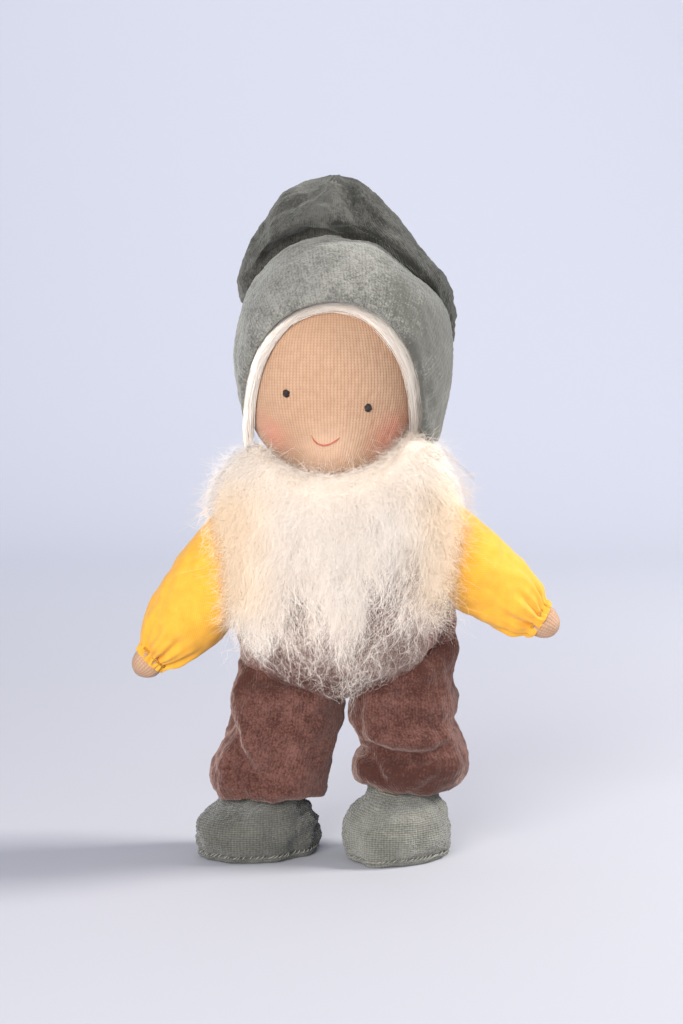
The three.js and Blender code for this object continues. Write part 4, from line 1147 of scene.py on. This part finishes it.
def halo_paths(count, steps, seed):
    """Fibres that stand off both sides of the beard."""
    random = np.random.default_rng(seed)
    z = random.uniform(84, 148, count)
    left, right, _, _ = drawn(beard_outline, z).T
    side = np.where(random.uniform(0, 1, count) < 0.5, -1.0, 1.0)
    out = side * np.clip(random.normal(0.90, 0.10, count), 0, 1.08)
    x = (left + right) / 2 + (right - left) / 2 * out
    z = np.minimum(z, chin_line(x) + random.normal(0, 1.6, count))
    return short_paths(x, z, np.stack([0.6 * side, 0 * x, -0.6 + 0 * x], axis=1), (2.5, 6.5), steps, random)


def rim_paths(count, steps, seed):
    """Fibres along the chin that hide the fleece's rim."""
    random = np.random.default_rng(seed)
    x = random.uniform(-33, 26, count)
    z = chin_line(x) + random.normal(-1.0, 0.9, count)
    return short_paths(x, z, np.array([0.0, -0.4, -1.3]), (2.5, 7.0), steps, random)


beard_piece("beard_mat", beard_paths(11000, 8, 71, (6, 14), (0.6, 2.8), 0.7), 0.09, 72)
beard_piece("beard_locks", beard_paths(11000, 8, 73, (5, 12), (-0.4, 1.8), 1.0), 0.09, 74)
beard_piece("beard_cloud", beard_paths(13000, 8, 75, (4, 9), (-1.6, 0.9), 1.5), 0.04, 76)
beard_piece("beard_fuzz", beard_paths(13000, 8, 79, (3, 7), (-2.4, 0.4), 2.2), 0.036, 80)
beard_piece("beard_halo", halo_paths(13000, 7, 85), 0.036, 86)
beard_piece("beard_rim", rim_paths(7000, 7, 87), 0.045, 88)
beard_piece("beard_wisps", beard_paths(1500, 22, 77, (8, 20), (-0.4, 5.0), 1.6, 57, 110, True, 1.5), 0.05, 78)

# Shirt
# Plain-woven yellow cotton. Its body shows only through the beard and from behind, where it is
# gathered to the neck.

cotton_dark, cotton_light = (0.78, 0.32, 0.026, 1.0), (0.90, 0.49, 0.060, 1.0)


def weave_group():
    """Plain weave from the cloth UV: threads over and under in a small checker. The mask is 1
    where a thread is on top, and the height is its roundness."""
    group, into, out = new_group("plain_weave", {"Thread": 0.42})
    calc = calculator(group)
    slub = calc("MULTIPLY_ADD", cloud(group, 330.0, 3.0), 0.9, -0.12)
    wide, tall = cloth_axes(group)
    half_turn = calc("DIVIDE", math.pi, into["Thread"])
    warp = calc("SINE", calc("MULTIPLY", wide, half_turn))
    weft = calc("SINE", calc("MULTIPLY", tall, half_turn))
    over = calc("MULTIPLY_ADD", calc("MULTIPLY", warp, weft), 0.5, 0.5)
    group.links.new(calc("MULTIPLY_ADD", over, 0.45, slub), out["Mask"])
    group.links.new(over, out["Height"])
    return group


plain_weave = weave_group()


def cotton_material(name):
    """Yellow cotton with a fine weave, a little lighter where a thread is on top."""
    material, tree, shader = new_material(name, 0.85)
    weave = added(tree, "Group", node_tree=plain_weave).outputs
    give_relief(tree, shader, weave["Height"], strength=0.35, distance=0.00012)
    colour = toned(tree, weave["Mask"], cotton_dark, cotton_light)
    colour_cloth(tree, shader, colour, sheen=0.2, shine=0.2)
    return material


shirt_cotton = cotton_material("shirt_cotton")
hand_jersey = jersey_material("hand_jersey")


def torso_grid(low, high, rows, columns, grow):
    """Level rings of the torso between two heights, made larger all round by grow."""
    height = np.linspace(low, high, rows)
    middle, half_x, half_y = drawn(torso_profile, height).T
    turn = full_turn(columns)[None, :]
    x = middle[:, None] + (half_x + grow)[:, None] * np.cos(turn)
    y = (half_y + grow)[:, None] * np.sin(turn)
    return np.stack([x, y, height[:, None] + 0 * x], axis=-1)


def closed_ends(points, start=True, end=True):
    """Adds rows that draw the ends of a tube of points together into their middle."""
    parts = [points]
    shares = np.array([0.75, 0.45, 0.0])
    for wanted, edge, first in ((start, points[0], True), (end, points[-1], False)):
        if not wanted:
            continue
        middle = edge.mean(axis=0, keepdims=True)
        cap = middle + (edge - middle)[None] * shares[:, None, None]
        parts = [cap[::-1]] + parts if first else parts + [cap]
    return np.concatenate(parts)


def even_cloth(points, across, along):
    """Millimetres of cloth at each point of a grid that closes on itself: across it in equal
    steps to the given width, and along it in equal steps to the given length."""
    rows, columns = points.shape[:2]
    wide = np.repeat(np.linspace(0, across, columns + 1)[None, :], rows, axis=0)
    tall = np.repeat(np.linspace(0, along, rows)[:, None], columns + 1, axis=1)
    return wide, tall


shirt_points = torso_grid(97.8, 127.2, 46, 200, 0.0)
gathered = np.sin(26 * full_turn(200))[None, :] * smooth_step(112, 127, shirt_points[..., 2])
shirt_points = lifted(shirt_points, 0.45 * waves(shirt_points, 15, 81) + 0.5 * gathered)
shirt_points = closed_ends(shirt_points, start=False)
shirt = cloth_piece("shirt_cotton_body", shirt_cotton, shirt_points, *even_cloth(shirt_points, 168, 32))
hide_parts("shirt_body", "torso_stuffing")
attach(shirt, "torso")

# Neck
# A jersey tube of wound wool that stands in the shirt's collar and carries the head, tied off
# with two turns of pale thread.

neck_middle_x, neck_radius, neck_tied_z = -5.0, 8.0, 129.3
neck_points = torso_grid(112.4, 133.6, 24, 90, 0.0)
neck_turn = full_turn(90)
neck_points[..., 0] = neck_middle_x + neck_radius * np.cos(neck_turn)
neck_points[..., 1] = neck_radius * np.sin(neck_turn)
tied = bump_along(neck_points[..., 2] - neck_tied_z, 0.8)
neck_points = lifted(neck_points, 0.1 * waves(neck_points, 5, 87) - 0.45 * tied)
neck_points = closed_ends(neck_points)
neck = cloth_piece("neck_jersey", hand_jersey, neck_points, *even_cloth(neck_points, 42 * wale, 24))
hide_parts("neck_stub")
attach(neck, "neck")


def wound_thread(name, material, middle, along, radius, thread, rise):
    """Two turns of thread round a line: a helix of the given radius about a middle point."""
    turns = 2
    angle = np.linspace(0, 2 * np.pi * turns, 60 * turns)
    side = np.cross(along, [0.0, 1.0, 0.0])
    side /= np.linalg.norm(side)
    deep = np.cross(side, along)
    lift = (angle / (2 * np.pi) - turns / 2)[:, None] * rise * along
    around = np.cos(angle)[:, None] * side + np.sin(angle)[:, None] * deep
    centres = middle + radius * around + lift
    tube = closed_ends(tube_grid(centres, thread, 10))
    piece = mesh_piece(name, material, tube * mm, grid_faces(len(tube), 10, True))
    close_poles(piece)
    return piece


pale_thread = thread_material("pale_thread", (0.62, 0.60, 0.50, 1.0), 1500.0)
neck_tied_at, upward = np.array([neck_middle_x, 0.0, neck_tied_z]), np.array([0.0, 0.0, 1.0])
neck_thread = wound_thread("neck_thread", pale_thread, neck_tied_at, upward, 8.35, 0.38, 0.8)
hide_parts("neck_tie_thread")
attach(neck_thread, "neck")

# Sleeves and hands
# A sleeve is a bag of cotton over the stuffed arm. The hand's jersey knob is caught in its end
# by the gathering thread.


def arm_frame(shoulder, wrist):
    """The arm's own directions: along it, and outward across it, both in the XZ plane."""
    along = np.array([wrist[0] - shoulder[0], 0.0, wrist[1] - shoulder[1]])
    length = np.linalg.norm(along)
    along /= length
    across = np.array([-along[2], 0.0, along[0]])
    if across[2] < 0:
        across = -across
    return along, across, length


def arm_rings(shoulder, wrist, share, shift, half_width, half_depth, columns):
    """Rings of points round an arm at shares of its length, each shifted outward from its line."""
    along, across, length = arm_frame(shoulder, wrist)
    start = np.array([shoulder[0], 0.0, shoulder[1]])
    centre = start + along * (share * length)[:, None] + across * shift[:, None]
    turn = full_turn(columns)
    side = np.cos(turn)[None, :, None] * half_width[:, None, None] * across
    deep = np.sin(turn)[None, :, None] * half_depth[:, None, None] * np.array([0.0, 1.0, 0.0])
    return centre[:, None, :] + side + deep, turn


def outward_order(points):
    """The grid with its columns turned round if its faces would otherwise face inward."""
    down = np.gradient(points, axis=0)
    along = np.roll(points, -1, axis=1) - np.roll(points, 1, axis=1)
    outward = points - points.mean(axis=1, keepdims=True)
    facing = (np.cross(along, down) * outward).sum()
    return points if facing > 0 else points[:, ::-1]


def sleeve_grid(shoulder, wrist, table, seed):
    """A sleeve from inside the shirt to the wrist. Near the wrist its cloth stands in folds that
    deepen toward the thread, and past the thread the edge opens in short scallops."""
    share = np.concatenate([np.linspace(-0.2, 0.80, 70), np.linspace(0.806, 1.045, 52)])
    shift, half_width, half_depth = drawn(table, share).T
    points, turn = arm_rings(shoulder, wrist, share, shift, half_width, half_depth, 260)
    random = np.random.default_rng(seed)
    phase = random.uniform(0, 6.3, 4)
    folds = (
        np.sin(9 * turn + phase[0] + 1.1 * np.sin(2 * turn + phase[1]))
        + 0.55 * np.sin(17 * turn + phase[2]) + 0.35 * np.sin(5 * turn + phase[3])
    )[None, :]
    close = smooth_step(0.70, 1.0, share)[:, None]
    scallops = np.abs(np.sin(5.5 * turn + phase[1]))[None, :]
    relief = 0.85 * close * folds * smooth_step(1.06, 1.0, share)[:, None]
    relief = relief + 0.8 * smooth_step(0.985, 1.03, share)[:, None] * scallops
    relief = relief + 0.45 * waves(points, 22, seed + 1) * (1 - close) + 0.25 * waves(points, 8, seed + 2)
    points = lifted(points, relief if outward_order(points) is points else -relief)
    inner = points[-1:] + 0.45 * (points[-1:].mean(axis=1, keepdims=True) - points[-1:])
    return closed_ends(np.concatenate([points, inner]), start=True, end=False)


def hand_grid(shoulder, wrist, shift, radius, seed):
    """A knob of stuffed jersey that comes out of the sleeve's end."""
    along, across, length = arm_frame(shoulder, wrist)
    rise = np.linspace(-0.35 * np.pi, np.pi / 2, 60)
    share = (length * 1.022 + radius * 0.25 + radius * 1.12 * np.sin(rise)) / length
    size = radius * np.cos(rise)
    points, _ = arm_rings(shoulder, wrist, share, np.full(60, shift), size, size * 0.98, 90)
    return outward_order(lifted(points, 0.12 * waves(points, 6, seed)))


arms = {
    "right": dict(
        shoulder=(-27.5, 112.0), wrist=(-67.9, 70.5), body="arm_right", seed=91, hand=(0.0, 5.6),
        table=[
            [-0.2, 0.3, 9.5, 9.0], [-0.08, 1.6, 13.5, 11.5], [0.1, 2.9, 15.8, 13.2],
            [0.35, 2.8, 16.2, 13.8], [0.62, 1.8, 14.9, 13.2], [0.82, 0.8, 12.0, 11.0],
            [0.93, 0.3, 8.8, 8.4], [1.0, 0.0, 5.6, 5.6], [1.05, 0.0, 5.5, 5.4],
        ],
    ),
    "left": dict(
        shoulder=(19.5, 112.0), wrist=(66.9, 84.2), body="arm_left", seed=95, hand=(0.0, 5.8),
        table=[
            [-0.2, 0.4, 9.5, 9.0], [-0.08, 2.3, 13.5, 11.5], [0.1, 4.0, 15.8, 13.2],
            [0.3, 4.4, 15.8, 13.8], [0.55, 3.3, 14.6, 13.2], [0.8, 1.5, 12.2, 11.0],
            [0.93, 0.6, 9.4, 8.6], [1.0, 0.0, 6.4, 6.2], [1.05, 0.0, 6.1, 5.9],
        ],
    ),
}
sleeve_thread = thread_material("sleeve_thread", (0.90, 0.45, 0.05, 1.0), 1500.0)
for side_name, arm in arms.items():
    sleeve_points = outward_order(sleeve_grid(arm["shoulder"], arm["wrist"], arm["table"], arm["seed"]))
    sleeve_cloth = even_cloth(sleeve_points, 90, 66)
    sleeve = cloth_piece(f"sleeve_{side_name}_cotton", shirt_cotton, sleeve_points, *sleeve_cloth)
    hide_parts(f"sleeve_{side_name}", f"arm_stuffing_{side_name}")
    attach(sleeve, arm["body"])
    hand_points = hand_grid(arm["shoulder"], arm["wrist"], *arm["hand"], arm["seed"] + 3)
    hand_cloth = even_cloth(hand_points, 28 * wale, 14)
    hand = cloth_piece(f"hand_{side_name}_jersey", hand_jersey, hand_points, *hand_cloth)
    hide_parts(f"hand_{side_name}")
    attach(hand, arm["body"])
    forearm = arm_frame(arm["shoulder"], arm["wrist"])[0]
    tied_at = np.array([arm["wrist"][0], 0.0, arm["wrist"][1]]) - 0.3 * forearm
    turn_radius = arm["hand"][1] + 0.35
    thread_name = f"wrist_thread_{side_name}_turns"
    thread = wound_thread(thread_name, sleeve_thread, tied_at, forearm, turn_radius, 0.24, 0.5)
    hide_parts(f"wrist_thread_{side_name}")
    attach(thread, arm["body"])

# Trousers
# Red-brown cotton velour. The seat is drawn tight over the round belly, and each leg hangs
# from a crease under it in soft folds to a turned hem that rests on the boot.

trouser_dark, trouser_light = (0.066, 0.024, 0.018, 1.0), (0.180, 0.083, 0.066, 1.0)
trouser_velour = velour_material("trouser_velour", trouser_dark, trouser_light, 0.36, (0.9, 0.66, 0.58, 1.0))

seat_points = outward_order(torso_grid(57.9, 97.6, 90, 260, 0.0))
sx, sz = seat_points[..., 0], seat_points[..., 2]
sag = 4.6 * smooth_step(10, -14, sx) + 0.6 * smooth_step(-4, 8, sx)
seat_points[..., 2] -= sag * smooth_step(82, 64, sz)
side_crease = [(26.0, 69.0), (32.4, 75.6), (34.0, 82.0), (33.4, 92.0)]
side_fold = [(37.5, 78.0), (37.5, 92.0)]
side_front = smooth_step(2, -6, seat_points[..., 1])
seat_relief = (
    0.5 * waves(seat_points, 18, 101) + 0.25 * waves(seat_points, 7, 102) + 0.1 * waves(seat_points, 2.4, 103)
    - 2.0 * side_front * bump_along(near_line(sx, sz, side_crease), 1.5)
    + 0.9 * side_front * bump_along(near_line(sx, sz, side_fold), 2.4)
)
seat_relief *= np.sin(np.linspace(0, np.pi, 90))[:, None] ** 0.5
seat_points = closed_ends(lifted(seat_points, seat_relief))
seat = cloth_piece("trouser_seat_velour", trouser_velour, seat_points, *even_cloth(seat_points, 210, 52))


def seat_pile_and_shade(points):
    """Painted shade where the seat turns in under the belly, and patches where the pile lies this
    way and that.
    """
    return -0.55 * smooth_step(70, 62, points[:, 2]) + 0.1 * waves(points, 12, 104)


store_pile_tone(seat, seat_pile_and_shade)
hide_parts("trouser_seat")
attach(seat, "torso")


def leg_grid(outline, columns, rows, back_shift):
    """A trouser leg from the turned hem to the crease under the belly. The outline gives left,
    right, front and back at each height, and the hem's cloth turns in and up inside the leg."""
    bottom, top = outline[0][0], outline[-1][0]
    turned = np.array([[7.0, -2.7], [3.0, -2.6], [0.6, -2.1], [-0.5, -1.1], [0.1, -0.2], [1.4, 0.0]])
    height = np.append(turned[:, 0] + bottom, np.linspace(bottom + 2.6, top, rows))
    inset = np.append(turned[:, 1], np.zeros(rows))
    left, right, front, back = drawn(outline, np.maximum(height, bottom)).T
    turn = full_turn(columns)[None, :]
    soft = 1 + 0.055 * np.cos(4 * turn + np.pi)
    x = ((left + right) / 2)[:, None] + ((right - left) / 2 + inset)[:, None] * np.cos(turn) * soft
    y = ((front + back) / 2)[:, None] + ((back - front) / 2 + inset)[:, None] * np.sin(turn) * soft
    low = smooth_step(bottom + 14, bottom, height)[:, None]
    z = height[:, None] + low * (back_shift[0] * x / 20 + back_shift[1] * np.sin(turn))
    return np.stack([x, y, z], axis=-1), len(turned)


def right_leg_pile_and_shade(points):
    """Painted shade toward the crease under the belly, and patches where the pile lies this way and
    that.
    """
    return -0.55 * smooth_step(58, 64, points[:, 2]) + 0.1 * waves(points, 9, 119)


def left_leg_pile_and_shade(points):
    """Painted shade below the big fold and under the belly, a little darker all over, and patches
    where the pile lies this way and that.
    """
    x, z = points[:, 0], points[:, 2]
    under_belly = smooth_step(60, 68, z - 0.3 * (x - 20))
    return -0.5 * smooth_step(42, 31, z) - 0.12 - 0.4 * under_belly + 0.1 * waves(points, 9, 120)


legs = {
    "right": dict(
        pile_tone=right_leg_pile_and_shade, body="leg_right", middle=-22.0, seed=111, tilt=(0.0, 0.0),
        outline=[
            [22.0, -46.5, -6.8, -17.6, 18.5], [27, -49.0, -5.6, -19.2, 20.4], [33, -48.2, -4.0, -19.6, 20.6],
            [40, -44.6, -1.9, -19.9, 20.4], [48, -41.6, -0.8, -20.0, 20.2], [56, -40.6, -0.3, -19.6, 20.0],
            [61, -39.8, -0.5, -18.4, 19.8], [65, -39.2, -0.8, -14.0, 19.4], [70, -38.6, -1.8, -10.5, 18.6],
            [74.5, -37.4, -3.4, -7.6, 17.4],
        ],
        creases=[
            ([(-42.0, 52.0), (-38.5, 43.0), (-33.5, 34.5), (-30.5, 29.5)], 1.9, 2.0),
            ([(-20.0, 54.0), (-10.0, 51.0), (-4.0, 53.0)], 0.8, 2.6),
        ],
        ridges=[
            ([(-38.5, 58.0), (-35.0, 44.0), (-30.0, 36.0)], 1.1, 3.2),
            ([(-30.0, 25.0), (-18.0, 24.0), (-9.0, 24.5)], 0.8, 2.4),
            ([(-46.5, 36.0), (-43.0, 28.0)], 1.2, 4.0), ([(-30.0, 60.0), (-15.0, 56.0)], 0.6, 4.0),
        ],
    ),
    "left": dict(
        pile_tone=left_leg_pile_and_shade, body="leg_left", middle=21.0, seed=117, tilt=(-0.6, 0.0),
        outline=[
            [25.0, 9.0, 38.5, -17.0, 18.2], [29, 2.8, 42.6, -19.6, 20.2], [33, 2.2, 43.9, -20.4, 20.8],
            [37, 4.4, 43.8, -19.8, 20.8], [42, 2.6, 42.6, -20.6, 20.6], [49, 0.6, 39.8, -20.2, 20.4],
            [57, 0.9, 38.6, -20.0, 20.2], [65, 1.6, 39.2, -18.0, 19.8], [72, 2.6, 39.6, -13.6, 19.0],
            [77.5, 5.0, 39.4, -10.0, 16.8], [83.0, 10.0, 38.6, -6.5, 12.0],
        ],
        creases=[
            ([(9.0, 41.2), (16.0, 38.6), (26.0, 38.2), (34.0, 40.5)], 2.3, 1.9),
            ([(6.5, 38.5), (10.5, 34.5), (12.5, 29.5)], 2.1, 1.8),
            ([(20.0, 62.0), (30.0, 60.0), (36.0, 66.0)], 1.2, 3.4),
            ([(24.0, 52.0), (33.0, 47.0), (38.0, 49.0)], 1.1, 2.8),
        ],
        ridges=[
            ([(10.0, 45.0), (22.0, 42.8), (34.0, 44.5)], 1.5, 3.0),
            ([(14.0, 33.5), (26.0, 32.5), (38.0, 33.0)], 1.6, 3.4),
            ([(5.5, 36.0), (5.0, 28.0)], 2.0, 3.2),
            ([(14.0, 58.0), (24.0, 55.0), (36.0, 57.5)], 1.1, 3.6),
            ([(8.0, 70.0), (24.0, 68.5), (36.0, 74.0)], 0.9, 3.6),
        ],
    ),
}
for side_name, leg in legs.items():
    leg_points, hem_rows = leg_grid(leg["outline"], 230, 120, leg["tilt"])
    leg_points = outward_order(leg_points)
    lx, ly, lz = leg_points[..., 0], leg_points[..., 1], leg_points[..., 2]
    in_front = smooth_step(9, -5, ly) * smooth_step(1.0, 0.86, np.abs((lx - leg["middle"]) / 24.0))
    relief = 0.75 * waves(leg_points * [1, 1, 0.8], 15, leg["seed"])
    relief += 0.3 * waves(leg_points, 7, leg["seed"] + 1)
    relief += 0.1 * waves(leg_points, 2.4, leg["seed"] + 2)
    for line, depth, width in leg["creases"]:
        relief -= depth * in_front * bump_along(near_line(lx, lz, line), width)
    for line, height, width in leg["ridges"]:
        relief += height * in_front * bump_along(near_line(lx, lz, line), width)
    relief[:hem_rows - 3] = 0
    leg_points = closed_ends(lifted(leg_points, relief), start=False)
    leg_cloth = even_cloth(leg_points, 128, 58)
    trouser = cloth_piece(f"trouser_leg_{side_name}_velour", trouser_velour, leg_points, *leg_cloth)
    store_pile_tone(trouser, leg["pile_tone"])
    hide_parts(f"trouser_leg_{side_name}", f"leg_core_{side_name}")
    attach(trouser, leg["body"])

# Boots
# Grey-green terry with rows of small loops, stuffed round and stitched to a sole of the same
# cloth with a pale thread that shows along the edge.

terry_row, terry_column = 1.25, 1.1
loop_width, loop_height = 1.9, 2.3
terry_dark, terry_light = (0.085, 0.083, 0.068, 1.0), (0.28, 0.275, 0.232, 1.0)


def terry_group():
    """Looped pile: small round loops that stand in rows counted by the cloth UV, shaken a little
    by noise, each with its own height. The mask is dark between the loops."""
    group, _, out = new_group("terry_loops", {})
    calc = calculator(group)
    here = added(group, "TexCoord").outputs["Object"]
    cells = added(group, "TexVoronoi", {"Vector": here, "Scale": 1000.0})
    shake, fluff, wear = cloud(group, 420.0), cloud(group, 130.0, 4.0), cloud(group, 60.0)
    wide, tall = cloth_axes(group)
    row_turn = calc("MULTIPLY_ADD", tall, 2 * math.pi / terry_row, calc("MULTIPLY", shake, 3.5))
    column_turn = calc("MULTIPLY_ADD", wide, 2 * math.pi / terry_column, calc("MULTIPLY", shake, 4.5))
    column = calc("MULTIPLY_ADD", calc("SINE", column_turn), 0.16, 0.5)
    knit = calc("MULTIPLY_ADD", calc("SINE", row_turn), 0.30, column)
    loop = calc("SUBTRACT", 1.0, cells.outputs["Distance"])
    height = calc("MULTIPLY_ADD", loop, 0.35, calc("MULTIPLY", knit, 0.8))
    tone = calc("MULTIPLY_ADD", fluff, 0.8, calc("MULTIPLY_ADD", wear, 0.5, -0.72))
    group.links.new(calc("MULTIPLY_ADD", height, 0.85, tone), out["Mask"])
    group.links.new(height, out["Height"])
    return group


terry_loops = terry_group()


def terry_material(name, painted_light_share):
    """Terry in the boots' grey-green, its colours multiplied by a share: painted shade on the right
    boot and painted light on the left.
    """
    material, tree, shader = new_material(name, 0.95)
    loops = added(tree, "Group", node_tree=terry_loops).outputs
    give_relief(tree, shader, loops["Height"], strength=0.8, distance=0.0005)
    dark, light = shaded(terry_dark, painted_light_share), shaded(terry_light, painted_light_share)
    colour_cloth(tree, shader, toned(tree, loops["Mask"], dark, light), sheen=0.4, shine=0.15)
    return material


boot_half_length, boot_half_width, ankle_half, ankle_y, toe_offset = 23.0, 18.0, 12.4, 1.6, 6.0
seam_share, seam_width, row_under_seam, row_over_seam = 0.262, 0.014, 36, 42


def boot_grid(ankle_x, yaw, rows, columns):
    """A boot from the middle of its sole to the ankle inside the trouser leg. The foot's level
    slices are ellipses ahead of the ankle that draw in over the instep to the round shaft."""
    shape = [
        [0.0, 0.05, 0.55, 0.0], [0.08, 0.0, 0.80, 0.0], [0.16, 0.35, 0.90, 0.0], [0.22, 1.4, 0.955, 0.0],
        [0.27, 2.6, 0.955, 0.0], [0.34, 4.4, 0.985, 0.0], [0.44, 8.0, 1.0, 0.0], [0.54, 12.0, 0.975, 0.0],
        [0.64, 15.6, 0.905, 0.04], [0.74, 18.8, 0.80, 0.16], [0.82, 21.2, 0.70, 0.46],
        [0.90, 24.0, 0.66, 0.86], [1.0, 31.0, 0.66, 1.0],
    ]
    share = np.linspace(0, 1, rows)
    height, width, shaft = drawn(shape, share).T
    turn = full_turn(columns)[None, :]
    foot_along = boot_half_length * width[:, None] * np.cos(turn) + toe_offset
    foot_across = boot_half_width * width[:, None] * np.sin(turn) * (1 + 0.06 * np.cos(turn))
    along = foot_along + (ankle_half * np.cos(turn) - foot_along) * shaft[:, None]
    across = foot_across + (ankle_half * np.sin(turn) - foot_across) * shaft[:, None]
    x = ankle_x - along * np.sin(yaw) + across * np.cos(yaw)
    y = ankle_y - along * np.cos(yaw) - across * np.sin(yaw)
    return np.stack([x, y, height[:, None] + 0 * x], axis=-1), along, share


def loop_rows(points, across, along, seed):
    """Relief of terry loops: bumps in staggered rows, uneven in height."""
    wander = 0.9 * waves(points, 5, seed + 7)
    side_by_side = np.sin((across + wander) * 2 * np.pi / loop_width)
    bumps = side_by_side * np.sin((along + 0.6 * wander) * 2 * np.pi / loop_height)
    return 0.12 * bumps + 0.13 * waves(points, 1.9, seed + 8) + 0.1 * waves(points, 1.2, seed + 9)


def stitches_along(low, high, count, thread, seed):
    """Slanting stitches that cross a seam between two closed rows of points, as one grid of
    points for each stitch."""
    random = np.random.default_rng(seed)
    columns = len(low)
    start = (np.arange(count) * columns / count + random.uniform(-1.5, 1.5, count)).astype(int) % columns
    end = (start + random.integers(2, 6, count)) % columns
    share = np.linspace(0, 1, 7)[:, None]
    thickness = thread * np.sin(np.pi * (0.15 + 0.7 * share[:, 0]))
    centre = (low.mean(axis=0) + high.mean(axis=0)) / 2
    for first, second in zip(low[start], high[end]):
        line = first + (second - first) * share
        outward = line.mean(axis=0) - centre
        outward /= np.linalg.norm(outward)
        yield tube_grid(line + outward * (0.02 + 0.25 * np.sin(np.pi * share)), thickness, 6)


# The right boot's terry is darkened as painted shade, and the left boot's lightened as painted light.
boots = {
    "right": dict(ankle_x=-25.6, yaw=math.radians(60), body="foot_right", seed=121, painted_light_share=0.70),
    "left": dict(ankle_x=21.2, yaw=math.radians(25), body="foot_left", seed=127, painted_light_share=1.12),
}
for side_name, boot in boots.items():
    laid_points, boot_lengthwise, boot_share = boot_grid(boot["ankle_x"], boot["yaw"], 150, 300)
    boot_points = outward_order(laid_points)
    if boot_points is not laid_points:
        boot_lengthwise = boot_lengthwise[:, ::-1]
    wide_cloth, tall_cloth = even_cloth(boot_points, 132, 62)
    flat_sole = smooth_step(0.10, 0.26, boot_share)[:, None]
    lumps = 0.9 * waves(boot_points, 16, boot["seed"]) + 0.45 * waves(boot_points, 8, boot["seed"] + 1)
    heel = smooth_step(4, -12, boot_lengthwise) * smooth_step(0.3, 0.5, boot_share)[:, None]
    crease = boot_points[..., 2] * 0.55 + 1.2 * waves(boot_points, 9, boot["seed"] + 2)
    wrinkles = -1.4 * heel * np.abs(np.sin(crease))
    seam_groove = -0.9 * bump_along(boot_share - seam_share, seam_width)[:, None]
    loops = loop_rows(boot_points, wide_cloth[:, :-1], tall_cloth[:, :-1], boot["seed"])
    relief = (lumps * 0.8 + wrinkles) * flat_sole + seam_groove + loops * (0.25 + 0.75 * flat_sole)
    boot_points = lifted(boot_points, relief)
    boot_points[..., 2] = np.maximum(boot_points[..., 2], 0.0)
    under_seam, over_seam = boot_points[row_under_seam], boot_points[row_over_seam]
    tubes = np.stack(list(stitches_along(under_seam, over_seam, 62, 0.15, boot["seed"] + 4)))
    tube_rows, tube_sides = tubes.shape[1:3]
    tube_faces = grid_faces(tube_rows, tube_sides, True)
    first_point = np.arange(len(tubes))[:, None, None] * tube_rows * tube_sides
    seam_faces = (tube_faces[None] + first_point).reshape(-1, 4)
    seam = mesh_piece(f"sole_stitches_{side_name}", pale_thread, tubes * mm, seam_faces)
    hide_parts(f"sole_seam_{side_name}")
    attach(seam, boot["body"])
    boot_points = closed_ends(boot_points)
    terry = terry_material(f"boot_terry_{side_name}", boot["painted_light_share"])
    boot_cloth = even_cloth(boot_points, 132, 70)
    upper = cloth_piece(f"boot_{side_name}_terry", terry, boot_points, *boot_cloth)
    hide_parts(f"boot_upper_{side_name}", f"boot_sole_{side_name}", f"boot_stuffing_{side_name}")
    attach(upper, boot["body"])
